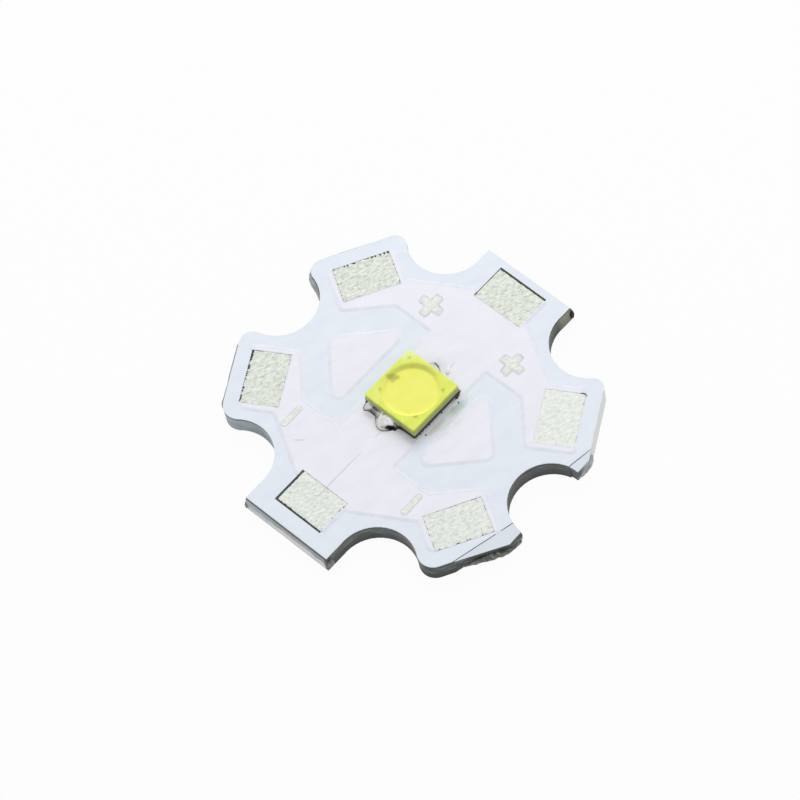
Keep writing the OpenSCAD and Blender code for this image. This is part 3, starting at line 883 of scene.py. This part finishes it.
@dataclass
class TinPad:
    """One wire pad: a lumpy tin relief with ragged edges, in the place of the CAD plate.

    Attributes:
        bite: depth of the nicks in the outer, inner, left and right edge, mm.
        spread: how far the tin runs past each of those edges, mm.
        coarse: spacing of the large lumps, mm.
        fine: spacing of the small lumps across the smear, mm; along it they are drawn out.
        smear: direction of the smear on the board, degrees.
        rounding: width over which an edge rounds down, mm.
        nick: spacing of the nicks, mm.
        patch: spacing of the stretches with deep and with shallow nicks, mm.
    """

    node: str
    angle: float
    seed: int
    bite: Sides
    spread: Sides
    finish: Finish
    level: Heights
    step: float = 0.03
    lump: float = 0.007
    coarse: float = 0.24
    fine: float = 0.13
    drawn: float = 2.0
    smear: float = -21.0
    rounding: float = 0.07
    nick: float = 0.085
    patch: float = 0.8

    def build(self, frame: dict[str, Any]) -> None:
        """Makes the relief.

        Each edge of the pad spreads over the trench and is drawn in by a ragged bite, and the grid
        is stretched between the four edges. Height is the tin's level plus lumps of two sizes,
        rounded down at the edge.
        """
        points, _ = node_points(frame["nodes"][self.node])
        a = np.radians(self.angle)
        out, across = np.array([np.cos(a), np.sin(a)]), np.array([-np.sin(a), np.cos(a)])
        r, t = points[:, :2] @ out, points[:, :2] @ across
        length, width = np.ptp(r), np.ptp(t)
        v = np.linspace(0, 1, int(length / self.step))[:, None]
        u = np.linspace(0, 1, int(width / self.step))[None, :]
        sides = enumerate(zip(self.bite, self.spread))
        outer, inner, left, right = (self.ragged(k, bite, spread) for k, (bite, spread) in sides)
        r_low, r_high = r.min() + inner(u * width), r.max() - outer(u * width)
        t_low, t_high = t.min() + right(v * length), t.max() - left(v * length)
        rr, tt = r_low + v * (r_high - r_low), t_low + u * (t_high - t_low)
        edge = np.minimum(np.minimum(rr - r_low, r_high - rr), np.minimum(tt - t_low, t_high - tt))
        way = np.radians(self.smear - self.angle)
        along, aside = rr * np.cos(way) + tt * np.sin(way), tt * np.cos(way) - rr * np.sin(way)
        lumps = (0.6 * grain(rr, tt, self.coarse, self.seed)
                 + grain(along / self.drawn, aside, self.fine, self.seed + 1, 2))
        round_off = np.sqrt(1 - (1 - np.clip(edge / self.rounding, 0, 1)) ** 2)
        base = self.level.bare + 0.002
        z = base + (self.level.tin - base + self.lump * lumps) * (0.25 + 0.75 * round_off)
        top = np.concatenate([rr[..., None] * out + tt[..., None] * across, z[..., None]], -1)
        piece = make(self.node + "_tin", Shell.slab(top, self.level.bare - 0.005), self.finish, 70)
        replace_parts(piece, self.node)

    def ragged(self, side: int, bite: float, spread: float) -> Callable[[Array], Array]:
        """A function of the place along one edge that gives how far the edge is drawn in.

        Where a fine relief rises over a sixth of its height the edge is nicked, and between the
        nicks it keeps its line; a slow relief makes some stretches deeper than others.

        Args:
            side: number of the edge.
            bite: depth of the deepest nicks, mm.
            spread: how far the tin runs over the edge of its copper, mm.

        Returns:
            The function.
        """
        def inset(s: Array) -> Array:
            """The nicks' depth less the spread.

            Args:
                s: places along the edge, mm.

            Returns:
                The inset at each place, mm.
            """
            wave = grain(s, np.full_like(s, 3.0 * side), self.nick, self.seed + 10 + side, 2)
            slow = 0.5 + 0.5 * grain(s, np.full_like(s, 7.0 * side), self.patch, self.seed + 20 + side, 1)
            return bite * np.clip(3.0 * wave - 0.5, 0, 1) * np.clip(0.35 + slow, 0, 1) - spread
        return inset


@dataclass
class PolaritySign:
    """A plus or minus sign: a window in the mask, filled with tin."""

    name: str
    kind: Sign
    centre: tuple[float, float]
    seed: int
    level: Heights
    span: float = field(init=False)
    width: float = field(init=False)
    seam: float = field(init=False)
    tin_rise: float = 0.018
    tin_lump: float = 0.003
    rim_rise: float = 0.008
    rim_lump: float = 0.001
    sink: float = 0.02

    def __post_init__(self) -> None:
        """Looks up the tin's span and width, and the rim's width round it."""
        self.span, self.width, self.seam = SIGN_SIZES[self.kind]

    def outline(self, grow: float, count: int = 240) -> Array:
        """Points round the sign, evenly spaced in angle or along a capsule.

        The radius of a plus is where a ray meets the side or the end of its nearer arm, and no
        less than a round middle; a running mean over the angle rounds its corners. A minus is a
        bar with half-round ends.

        Args:
            grow: distance by which the outline is widened, mm.
            count: number of points.

        Returns:
            (count, 2) points about the sign's centre.
        """
        angle = np.linspace(0, 2 * np.pi, count, endpoint=False)
        if self.kind is Sign.PLUS:
            near = np.abs(np.stack([np.cos(angle), np.sin(angle)]))
            end = (self.span / 2 + grow) / near.max(0)
            side = (self.width / 2 + grow) / np.maximum(near.min(0), 1e-6)
            arm = np.maximum(np.minimum(end, side), 0.8 * self.width + grow)
            wobble = 1 + 0.06 * grain(angle * 2, angle * 0, 0.6, self.seed, 2)
            radius = soften(arm, 8, "wrap") * wobble
            return np.stack([radius * np.cos(angle), radius * np.sin(angle)], 1)
        half, end = self.span / 2 + grow, self.width / 2 + grow
        straight = 2 * (half - end)
        length = 2 * straight + 2 * np.pi * end
        s = angle / (2 * np.pi) * length
        marks = [0, np.pi * end, np.pi * end + straight, 2 * np.pi * end + straight, length]
        turn = np.interp(s, marks, [-np.pi / 2, np.pi / 2, np.pi / 2, 1.5 * np.pi, 1.5 * np.pi])
        shift = np.interp(s, marks, [half - end, half - end, end - half, end - half, half - end])
        wobble = 1 + 0.05 * grain(s, s * 0, 0.4, self.seed, 2)
        return np.stack([shift + end * np.cos(turn) * wobble, end * np.sin(turn) * wobble], 1)

    def relief(self, grow: float, height: float, lump: float, rings: int = 16) -> Shell:
        """A low dome under the outline.

        Rings are the outline drawn in towards the centre; the height falls off at the rim as a
        quarter circle and carries a fine grain.

        Args:
            grow: widening of the outline, mm.
            height: height over the mask, mm.
            lump: height of the grain, mm.
            rings: number of rings.

        Returns:
            The closed dome.
        """
        share = np.linspace(1, 0, rings, endpoint=False)[::-1]
        flat = self.centre + share[:, None, None] * self.outline(grow)[None]
        fall = np.sqrt(np.clip(1 - (np.clip(share - 0.75, 0, 1) / 0.25) ** 2, 0, 1))[:, None]
        lumps = lump * grain(flat[..., 0], flat[..., 1], 0.2, self.seed)
        z = self.level.cover - 0.004 + (height + lumps) * fall
        grid = np.concatenate([flat, np.broadcast_to(z[..., None], (*flat.shape[:2], 1))], -1)
        foot = grid[-1:].copy()
        foot[..., 2] = self.level.cover - self.sink
        x, y = self.centre
        return Shell.rings(np.concatenate([grid, foot]), np.array([x, y, grid[0, :, 2].mean()]),
                           np.array([x, y, self.level.cover - self.sink]))

    def build(self) -> None:
        """Makes the lacquer's lip round the sign and the tin in it."""
        make(self.name + "_lip", self.relief(self.seam, self.rim_rise, self.rim_lump), SIGN_RIM)
        make(self.name + "_tin", self.relief(0.0, self.tin_rise, self.tin_lump), SIGN_TIN)


@dataclass
class SolderJoint:
    """One electrical joint beside the package: a fillet that swells to a drip.

    Attributes:
        side: -1 or 1, the end of the X axis that the joint is at.
        reach: rows of Y and of the outer edge's distance from the middle, mm.
        rise: rows of Y and of the height at the package's wall, mm.
        swell: rows of Y and of the share that the bulging section has.
        run: half the joint's length, mm.
        hollow: power of the hollow section.
        bulge: power of the bulging section.
        tuck: how far the joint goes in under the package and down into the lacquer, mm.
        sink: how far below the lacquer's top its skin starts, mm.
        lump: height of its unevenness, mm.
    """

    name: str
    node: str
    side: int
    reach: Table
    rise: Table
    swell: Table
    level: Heights
    run: float = 1.75
    hollow: float = 2.2
    bulge: float = 2.4
    tuck: float = 0.02
    sink: float = 0.006
    lump: float = 0.004

    @staticmethod
    def curve(table: Table, y: Array) -> Array:
        """A smooth curve through a table: straight joins, then a running mean over 0.12 mm.

        Args:
            table: rows of place and value.
            y: places, mm.

        Returns:
            The value at each place.
        """
        fine = np.linspace(-1.8, 1.8, 721)
        raw = np.interp(fine, [row[0] for row in table], [row[1] for row in table])
        return np.interp(y, fine, soften(raw, 12, "edge"))

    def build(self) -> None:
        """Makes the joint.

        The grid runs along the package and outward from its wall. Across it the height falls from
        the wall to the board: in a hollow fillet as one minus the outward share, to a power, and in
        a bulging one as the root of one minus the share's power. The swell mixes the two.
        """
        y = np.linspace(-self.run, self.run, 176)[:, None]
        share = np.linspace(0, 1, 36)[None, :]
        reach, rise, swell = (self.curve(table, y) for table in (self.reach, self.rise, self.swell))
        hollow = (1 - share) ** self.hollow
        bulge = np.sqrt(np.clip(1 - share ** self.bulge, 0, 1))
        lift = rise * (hollow * (1 - swell) + bulge * swell)
        inside = self.level.half + self.side * self.level.led[0] - self.tuck
        x = inside + share * (reach - inside)
        y = np.broadcast_to(y, x.shape)
        z = self.level.cover - self.sink + lift + self.lump * grain(x, y, 0.3, 5)
        top = np.stack([self.side * x, y, z], -1)
        piece = make(self.name, Shell.slab(top, self.level.cover - self.tuck), SOLDER, 80)
        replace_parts(piece, self.node)


@dataclass
class DriedFlux:
    """Flux round the package's foot: char in the seam, dark also as painted shade, pale skins, crumbs and
    one clear drop.

    Attributes:
        skins: rows of low X, high X, low Y and high Y of the skins, mm.
        crumbs: rows of X, Y and half size of the crumbs, mm.
        seam: height of the char's middle over the lacquer, mm.
        skin: thickness of a skin, mm.
    """

    level: Heights
    skins: Table = (
        (-2.07, -1.72, -1.78, -0.62), (-2.07, -1.72, 1.66, 1.8), (1.9, 2.07, -1.78, -0.3),
        (1.9, 2.07, 0.85, 1.78))
    crumbs: Table = (
        (1.52, -1.84, 0.08), (1.7, -1.8, 0.06), (1.37, -2.1, 0.045), (-1.16, -2.06, 0.045),
        (-0.6, -1.8, 0.05), (0.35, -1.82, 0.045), (-1.3, -1.8, 0.05), (2.05, -0.02, 0.04))
    seam: float = 0.012
    skin: float = 0.014

    def film(self, x0: float, x1: float, y0: float, y1: float, seed: int) -> Shell:
        """A thin skin over a rectangle: a grid whose relief eases down to the mask at its edges.

        Args:
            x0: low end along X, mm.
            x1: high end along X, mm.
            y0: low end along Y, mm.
            y1: high end along Y, mm.
            seed: seed of the unevenness.

        Returns:
            The closed skin.
        """
        x, y = np.meshgrid(np.linspace(x0, x1, 14), np.linspace(y0, y1, 50), indexing="ij")
        edge = np.minimum(np.minimum(x - x0, x1 - x), np.minimum(y - y0, y1 - y))
        z = self.level.cover + 0.001 + (self.skin + 0.006 * grain(x, y, 0.2, seed)) * ease(edge / 0.08)
        return Shell.slab(np.stack([x, y, z], -1), self.level.cover - 0.03)

    def build(self) -> None:
        """Makes the flux in the package's foot seam, which is also painted shade, the dried skins, the
        crumbs and the drop.
        """
        s = np.linspace(0, 1, 90)
        foot = np.full_like(s, self.level.cover + self.seam)
        (x, y), half = self.level.led, self.level.half
        run = (half - 0.03) * (1 - 2 * s)
        left = np.stack([np.full_like(s, x - half), y + run, foot], 1)
        right = np.stack([x - run, np.full_like(s, y - half), foot], 1)
        size = 0.035 + 0.025 * (0.5 + 0.5 * grain(s * 10, s * 0, 1.0, 31, 2))
        # A dark bead of char in the foot seam, also painted shade of the seam
        make("foot_flux_and_seam_shade", Shell.joined([bead(left, size, 1), bead(right, size, 2)]), FLUX)
        make("dried_flux_film", Shell.joined([
            self.film(*row, 60 + k) for k, row in enumerate(self.skins)]), FLUX_FILM)
        make("flux_crumbs", Shell.joined([
            nugget((x, y, self.level.cover + 0.01), (r, r * 0.8, r * 0.6), 40 * k, 50 + k)
            for k, (x, y, r) in enumerate(self.crumbs)]), FLUX)
        make("flux_drop", nugget((2.42, -0.4, self.level.cover), (0.2, 0.13, 0.07), 30, 61, 0.1),
             CLEAR_FLUX)


@dataclass
class Package:
    """The LED: phosphor coat with a round dish, and the clear silicone in the dish's floor.

    Attributes:
        corner: radius of the coat's upright corners, mm.
        slope: width of the dish's wall, mm.
        climb: share of the wall that the silicone's meniscus climbs.
        bend: power in the wall's S-curve.
        edge: radius of the coat's top edge, mm.
        film: thickness of the silicone on the wall, mm.
        depth: how far the silicone goes below the dish's floor, mm.
        lump: height of the coat's unevenness, mm.
        around: points in a ring.
        creases: rows of X and Y of the creases on the rim, mm.
    """

    level: Heights
    corner: float = 0.12
    slope: float = 0.28
    climb: float = 0.86
    bend: float = 0.9
    edge: float = 0.06
    film: float = 0.004
    depth: float = 0.04
    lump: float = 0.004
    around: int = 320
    creases: Table = ((-0.92, 1.34), (1.13, -1.31), (-0.96, -1.24), (1.46, 1.42))
    crease_depth: float = 0.04
    crease_reach: float = 0.09

    def square(self, half: float) -> Array:
        """Rounded square about the middle, one point per equal angle.

        A corner's arc is met where the ray from the middle cuts its circle; elsewhere the ray
        meets the straight side.

        Args:
            half: half the side, mm.

        Returns:
            (around, 2) points.
        """
        angle = np.linspace(0, 2 * np.pi, self.around, endpoint=False)
        d = np.stack([np.cos(angle), np.sin(angle)], 1)
        straight = half / np.abs(d).max(1)
        c = np.full(2, half - self.corner)
        m = np.abs(d) @ c
        arc = m + np.sqrt(np.clip(m * m - c @ c + self.corner ** 2, 0, None))
        in_corner = (np.abs(d) * straight[:, None]).min(1) > half - self.corner
        return self.level.led + d * np.where(in_corner, arc, straight)[:, None]

    def circle(self, radius: float) -> Array:
        """Circle about the middle, one point per equal angle."""
        angle = np.linspace(0, 2 * np.pi, self.around, endpoint=False)
        return self.level.led + radius * np.stack([np.cos(angle), np.sin(angle)], 1)

    def wall(self, share: Array) -> Array:
        """Height of the dish's wall at a share of its slope: the cubic ease of the share to a power."""
        return self.level.dish + (self.level.top - self.level.dish) * ease(share ** self.bend)

    def coat(self) -> Shell:
        """Ring of phosphor round the dish.

        Rings run up the dish's wall on an S-curve, out over the top from a circle to a rounded
        square, round the top edge on a quarter circle, down the side and back underneath. The top
        carries a fine grain, and each crease is a bell curve sunk into it.

        Returns:
            The closed ring.
        """
        low, dish, top = self.level.coat, self.level.dish, self.level.top
        floor_r, half, edge = self.level.floor_r, self.level.half, self.edge
        hidden = self.circle(floor_r - 0.02)
        rows: list[tuple[Array, float]] = [(hidden, low), (hidden, dish - 0.01)]
        for t in np.linspace(0, 1, 17):
            rows.append((self.circle(floor_r + self.slope * t), float(self.wall(t)) - self.film))
        rim, inner = self.circle(floor_r + self.slope), self.square(half - edge)
        for t in np.linspace(0, 1, 15)[1:]:
            rows.append((rim + (inner - rim) * t, top))
        for t in np.radians(np.linspace(0, 90, 7)[1:]):
            rows.append((self.square(half - edge + edge * np.sin(t)), top - edge + edge * np.cos(t)))
        for t in np.linspace(0, 1, 6)[1:]:
            rows.append((self.square(half), top - edge + (low - top + edge) * t))
        flat = np.stack([row[0] for row in rows])
        z = np.array([row[1] for row in rows])[:, None] + np.zeros(flat.shape[:2])
        x, y = flat[..., 0], flat[..., 1]
        upper = ease((z - dish) / (top - dish))
        z = z + upper * self.lump * grain(x, y, 0.35, 71)
        for px, py in self.creases:
            away = np.hypot(x - px, y - py)
            z = z - upper * self.crease_depth * np.exp(-(away / self.crease_reach) ** 2)
        return Shell.torus(np.concatenate([flat, z[..., None]], -1))

    def lens(self) -> Shell:
        """Disc of clear silicone whose meniscus climbs the dish's wall on its S-curve.

        The top runs from the middle out to the meniscus's edge, a film's thickness over the wall,
        and the underside runs back along the wall.

        Returns:
            The closed lens.
        """
        led, dish, floor_r = self.level.led, self.level.dish, self.level.floor_r
        climb = floor_r + self.slope * np.linspace(0, self.climb, 16)[1:]
        radius = np.concatenate([np.linspace(0.05, floor_r, 14), climb])
        wall = self.wall(np.clip((radius - floor_r) / self.slope, 0, 1))
        under = np.where(radius < floor_r, dish - self.depth, wall - 0.012)
        around = (self.circle(1.0) - led)[None]
        flat = led + np.concatenate([radius, radius[::-1]])[:, None, None] * around
        z = np.concatenate([wall + self.film, under[::-1]])
        grid = np.concatenate([flat, np.broadcast_to(z[:, None, None], (*flat.shape[:2], 1))], -1)
        return Shell.rings(grid, np.array([*led, dish + self.film]), np.array([*led, dish - self.depth]))

    def build(self) -> None:
        """Makes the coat and the lens in the place of their CAD solids."""
        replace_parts(make("phosphor_coat", self.coat(), PHOSPHOR, 40), "phosphor_layer")
        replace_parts(make("clear_lens", self.lens(), LENS, 40), "silicone_lens")


@dataclass
class Wear:
    """Damage from snapping the board out of its panel, and scratches in the lacquer.

    Rows of the web, lips, seam and burrs are X, Y, Z and radius, mm, and rows of the hairs are X and
    Y of both ends.
    """

    level: Heights
    web: Table = (
        (-5.5, -8.42, 0.5, 0.05), (-5.1, -8.62, 0.46, 0.1), (-4.7, -8.82, 0.42, 0.14),
        (-4.3, -9.02, 0.36, 0.17), (-3.9, -9.22, 0.3, 0.19), (-3.5, -9.4, 0.26, 0.2),
        (-3.15, -9.54, 0.26, 0.18), (-2.85, -9.64, 0.28, 0.14), (-2.55, -9.72, 0.3, 0.1),
        (-2.36, -9.74, 0.32, 0.06))
    flap_lip: Table = (
        (2.25, -9.66, 0.38, 0.05), (2.5, -9.71, 0.5, 0.12), (2.8, -9.73, 0.62, 0.15),
        (3.1, -9.69, 0.66, 0.16), (3.4, -9.58, 0.68, 0.14), (3.6, -9.48, 0.72, 0.07))
    corner_lip: Table = (
        (1.46, 8.14, 0.55, 0.02), (1.72, 8.4, 0.56, 0.1), (1.97, 8.78, 0.58, 0.16),
        (2.14, 9.2, 0.6, 0.19), (2.24, 9.46, 0.62, 0.17), (2.4, 9.62, 0.68, 0.14),
        (2.62, 9.74, 0.8, 0.1), (2.86, 9.81, 0.9, 0.06), (3.05, 9.8, 0.98, 0.02))
    seam: Table = (
        (5.8, -6.76, 1.285, 0.012), (5.9, -6.9, 1.288, 0.03), (5.94, -7.0, 1.288, 0.034),
        (5.92, -7.16, 1.285, 0.015))
    burrs: tuple[Table, ...] = (
        ((-6.7, 7.64, 1.1, 0.02), (-6.5, 7.76, 1.13, 0.08), (-3.4, 9.54, 1.13, 0.08),
         (-3.1, 9.68, 1.15, 0.01)),
        ((3.2, 9.62, 1.16, 0.01), (3.5, 9.49, 1.17, 0.05), (6.5, 7.76, 1.17, 0.045),
         (6.7, 7.62, 1.17, 0.01)))
    hairs: Table = (
        (-7.95, -0.05, -4.0, -0.06), (-3.0, -0.05, -2.5, -0.06), (-5.8, 3.26, -5.4, 2.76),
        (2.5, -0.36, 3.06, -0.3))
    hair_r: float = 0.012

    @staticmethod
    def strand(table: Table, seed: int, squash: float = 1.0, rough: float = 0.3) -> Shell:
        """A bead through a table of places and radii, joined by straight lines.

        Args:
            table: rows of x, y, z and radius, mm.
            seed: seed of the unevenness.
            squash: height over width.
            rough: share by which the radius is moved.

        Returns:
            The closed bead.
        """
        s = np.linspace(0, len(table) - 1, 60)
        run = np.stack([np.interp(s, np.arange(len(table)), column) for column in zip(*table)], 1)
        return bead(run[:, :3], run[:, 3], seed, squash, rough)

    def scratches(self) -> Shell:
        """Hair scratches: flat beads between two points, faintly waved and thinned at both ends.

        Returns:
            The scratches as one shell.
        """
        s = np.linspace(0, 1, 60)
        radius = self.hair_r * np.sin(np.pi * np.clip(s, 0.04, 0.96)) ** 0.5
        beads = []
        for k, (x0, y0, x1, y1) in enumerate(self.hairs):
            x = x0 + s * (x1 - x0)
            y = y0 + s * (y1 - y0) + 0.015 * grain(x, s * 0, 0.5, 90 + k, 2)
            path = np.stack([x, y, np.full_like(s, self.level.cover + 0.004)], 1)
            beads.append(bead(path, radius, 95 + k, 0.5))
        return Shell.joined(beads)

    def build(self) -> None:
        """Makes the torn and rolled lips at the snapped corners, the burrs and the hair scratches."""
        make("torn_corner_lips", Shell.joined([
            nugget((-2.42, -9.64, 0.5), (0.22, 0.1, 0.3), 10, 81, 0.3),
            nugget((-3.1, -9.64, 0.32), (0.16, 0.08, 0.09), -25, 82, 0.3),
            nugget((-9.97, 2.84, 0.64), (0.15, 0.13, 0.3), 0, 86, 0.2)]), TORN)
        make("torn_score_web", Shell.joined([
            self.strand(self.web, 84, 1.0, 0.2),
            nugget((-9.7, -2.89, 0.56), (0.27, 0.12, 0.46), 0, 85, 0.3)]), TORN_WEB)
        make("rolled_corner_lips", Shell.joined([
            self.strand(self.flap_lip, 87, 1.5, 0.1),
            self.strand(self.corner_lip, 88, 2.6, 0.06)]), ROLLED)
        make("routed_end_burrs", Shell.joined([self.strand(b, 89 + k) for k, b in enumerate(self.burrs)]),
             BURR)
        make("pad_corner_seam", self.strand(self.seam, 92), BURR)
        make("charred_tip", nugget((9.44, -2.9, 0.48), (0.15, 0.12, 0.4), 0, 83, 0.15), SOOT)
        make("hair_scratches", self.scratches(), SCRATCH)


@dataclass
class Board:
    """The whole board: CAD nodes dressed, and the pieces that sit on them."""

    frame: dict[str, Any]
    level: Heights
    finishes: tuple[tuple[Finish, tuple[str, ...]], ...] = (
        (ALUMINIUM, ("aluminium_core",)), (RESIN, ("dielectric_layer",)), (MASK, ("solder_mask",)),
        (COPPER, ("positive_trace", "negative_trace", "thermal_land", "upper_copper_island",
                  "lower_copper_island")),
        (TIN, ("positive_pad_left", "positive_pad_centre", "positive_pad_right", "negative_pad_left",
               "negative_pad_centre", "negative_pad_right")),
        (SOLDER, ("anode_solder", "cathode_solder", "thermal_solder")),
        (GOLD, ("anode_contact", "cathode_contact", "thermal_contact")),
        (CERAMIC, ("ceramic_substrate",)), (DIE, ("led_die", "esd_diode")), (PHOSPHOR, ("phosphor_layer",)),
        (LENS, ("silicone_lens",)))

    def dress(self) -> None:
        """Puts each CAD node in its finish."""
        for finish, names in self.finishes:
            for name in names:
                dress(self.frame["nodes"][name], finish)

    def pads(self) -> None:
        """Makes the tin of the six wire pads, each with its own bites, spread and sheen."""
        pads = (
            ("positive_pad_left", 60, (0.12, 0.03, 0.04, 0.04), (0.1, 0.0, 0.0, 0.0), TIN),
            ("positive_pad_centre", 0, (0.03, 0.02, 0.03, 0.05), (-0.02, 0.0, -0.05, 0.07), TIN),
            ("positive_pad_right", 300, (0.05, 0.02, 0.03, 0.03), (0.1, 0.03, 0.02, 0.02), SMOOTH_TIN),
            ("negative_pad_left", 120, (0.11, 0.03, 0.05, 0.04), (0.1, 0.0, 0.0, 0.0), TIN),
            ("negative_pad_centre", 180, (0.05, 0.03, 0.1, 0.03), (0.0, 0.0, 0.01, -0.14), PALE_TIN),
            ("negative_pad_right", 240, (0.09, 0.03, 0.04, 0.04), (0.1, 0.0, 0.0, 0.0), PALE_TIN))
        for k, (node, angle, bite, spread, finish) in enumerate(pads):
            TinPad(node, angle, 200 + 40 * k, bite, spread, finish, self.level).build(self.frame)

    def signs(self) -> None:
        """Makes the two plus signs and the two minus signs."""
        signs = (
            ("plus_sign_left", Sign.PLUS, (4.85, 3.0)), ("plus_sign_right", Sign.PLUS, (4.85, -2.8)),
            ("minus_sign_left", Sign.MINUS, (-4.8, 4.3)), ("minus_sign_right", Sign.MINUS, (-4.7, -4.25)))
        for name, kind, centre in signs:
            PolaritySign(name, kind, centre, 500 + len(name), self.level).build()

    def joints(self) -> None:
        """Makes the minus joint with its drip and its small blob, and the plus joint with its bead."""
        SolderJoint(
            "cathode_joint", "cathode_solder", -1, level=self.level,
            reach=((-1.75, 2.03), (-0.7, 2.03), (-0.5, 2.06), (-0.3, 2.28), (-0.05, 2.47), (0.15, 2.5),
                   (0.4, 2.42), (0.6, 2.26), (0.78, 2.06), (1.25, 2.03), (1.38, 2.08), (1.5, 2.15),
                   (1.62, 2.1), (1.74, 1.85)),
            rise=((-1.75, 0.01), (-1.0, 0.02), (-0.7, 0.06), (-0.4, 0.2), (-0.1, 0.32), (0.25, 0.36),
                  (0.55, 0.26), (0.8, 0.11), (1.22, 0.07), (1.38, 0.2), (1.5, 0.25), (1.62, 0.17),
                  (1.74, 0.03)),
            swell=((-1.75, 0.0), (-0.6, 0.2), (-0.25, 0.85), (0.4, 0.95), (0.6, 0.6), (0.9, 0.3),
                   (1.3, 0.3), (1.5, 0.6), (1.75, 0.4))).build()
        SolderJoint(
            "anode_joint", "anode_solder", 1, level=self.level,
            reach=((-1.75, 2.03), (-0.4, 2.03), (-0.2, 2.06), (-0.05, 2.2), (0.2, 2.36), (0.45, 2.4),
                   (0.62, 2.24), (0.8, 2.05), (1.2, 2.03), (1.75, 2.03)),
            rise=((-1.68, 0.06), (-0.3, 0.14), (0.1, 0.3), (0.45, 0.33), (0.7, 0.22), (1.0, 0.12),
                  (1.68, 0.06)),
            swell=((-1.68, 0.2), (-0.3, 0.4), (0.0, 0.9), (0.5, 0.95), (0.75, 0.5), (1.0, 0.3),
                   (1.68, 0.2))).build()

    def build(self) -> None:
        """Makes every piece on the board, from the lacquer's edges up to the LED and the wear."""
        Lacquer(self.frame["nodes"]["solder_mask"], self.level).build()
        self.pads()
        self.signs()
        self.joints()
        Package(self.level).build()
        DriedFlux(self.level).build()
        Wear(self.level).build()


@dataclass
class Studio:
    """Camera, lamp, floor and the white surroundings."""

    lens_mm: float = 208.16
    sensor_mm: float = 36.0
    place: Place = (-71.41, -97.91, 213.71)
    right: Place = (0.6686, -0.7344, -0.1167)
    up: Place = (0.6847, 0.5468, 0.4818)
    key_place: Place = (110.0, 90.0, 140.0)
    key_size: float = 160.0
    key_power: float = 0.252
    sky: float = 0.6
    floor_half: float = 1500.0
    floor_white: float = 0.96

    def camera(self) -> None:
        """Stands the camera at the photograph's place, looking along its axis."""
        data = bpy.data.cameras.new("photo_camera")
        data.lens, data.sensor_width = self.lens_mm, self.sensor_mm
        data.clip_start, data.clip_end = 0.01, 10.0
        right, up = Vector(self.right).normalized(), Vector(self.up)
        back = right.cross(up).normalized()
        turn = Matrix((right, back.cross(right), back)).transposed().to_4x4()
        camera = bpy.data.objects.new("photo_camera", data)
        camera.matrix_world = Matrix.Translation(Vector(self.place) * MM) @ turn
        bpy.context.scene.collection.objects.link(camera)
        bpy.context.scene.camera = camera

    def lamps(self) -> None:
        """Hangs one soft lamp behind the board, which glossy surfaces do not mirror."""
        data = bpy.data.lights.new("key_lamp", "AREA")
        data.shape, data.size, data.energy = "DISK", self.key_size * MM, self.key_power
        lamp = bpy.data.objects.new("key_lamp", data)
        lamp.location = Vector(self.key_place) * MM
        lamp.visible_glossy = False
        lamp.rotation_mode = "QUATERNION"
        lamp.rotation_quaternion = (-lamp.location).to_track_quat("-Z", "Y")
        bpy.context.scene.collection.objects.link(lamp)

    @staticmethod
    def seen(graph: Graph) -> Socket:
        """Picks out the rays that show the background.

        Args:
            graph: the tree in hand.

        Returns:
            One for a ray from the camera, off a mirror or through glass, else zero.
        """
        rays = graph.add("ShaderNodeLightPath").outputs
        mirrored = graph.add("ShaderNodeMath", {0: rays["Is Camera Ray"], 1: rays["Is Glossy Ray"]},
                             operation="MAXIMUM")
        through = graph.add("ShaderNodeMath", {0: mirrored.outputs[0], 1: rays["Is Transmission Ray"]},
                            operation="MAXIMUM")
        return through.outputs[0]

    def surroundings(self) -> None:
        """Lights the scene with an even sky, which the rays that show the background see as white."""
        world = bpy.data.worlds.new("studio")
        graph = Graph(world)
        sky = graph.add("ShaderNodeBackground", {"Color": linear("FFFFFF"), "Strength": self.sky})
        white = graph.add("ShaderNodeBackground", {"Color": linear("FFFFFF"), "Strength": 1.0})
        mix = graph.add("ShaderNodeMixShader", {0: self.seen(graph), 1: sky.outputs[0], 2: white.outputs[0]})
        graph.add("ShaderNodeOutputWorld", {"Surface": mix.outputs[0]})
        bpy.context.scene.world = world

    def floor(self) -> None:
        """Lays a wide white floor that keeps a faint shadow."""
        material = bpy.data.materials.new("studio_floor")
        graph = Graph(material)
        share = graph.add("ShaderNodeMath", {0: self.seen(graph), 1: self.floor_white}, operation="MULTIPLY")
        paint = graph.add("ShaderNodeBsdfDiffuse", {"Color": linear("D0D0D0")})
        white = graph.add("ShaderNodeEmission", {"Color": linear("FFFFFF"), "Strength": 1.0})
        mix = graph.add("ShaderNodeMixShader", {
            0: share.outputs[0], 1: paint.outputs[0], 2: white.outputs[0]})
        graph.add("ShaderNodeOutputMaterial", {"Surface": mix.outputs[0]})
        mesh = bpy.data.meshes.new("floor")
        corner = np.array([[-1, -1, 0], [1, -1, 0], [1, 1, 0], [-1, 1, 0]]) * self.floor_half * MM
        mesh.from_pydata(corner.tolist(), [], [[0, 1, 2, 3]])
        mesh.materials.append(material)
        floor = bpy.data.objects.new("floor", mesh)
        bpy.context.scene.collection.objects.link(floor)

    def build(self) -> None:
        """Sets up the picture with plain colours."""
        bpy.context.scene.view_settings.view_transform = "Standard"
        self.camera()
        self.lamps()
        self.surroundings()
        self.floor()


def main() -> None:
    logging.basicConfig(level=logging.INFO, format="%(name)s: %(message)s")
    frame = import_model()
    Studio().build()
    board = Board(frame, Heights())
    board.dress()
    board.build()


if __name__ == "__main__":
    main()
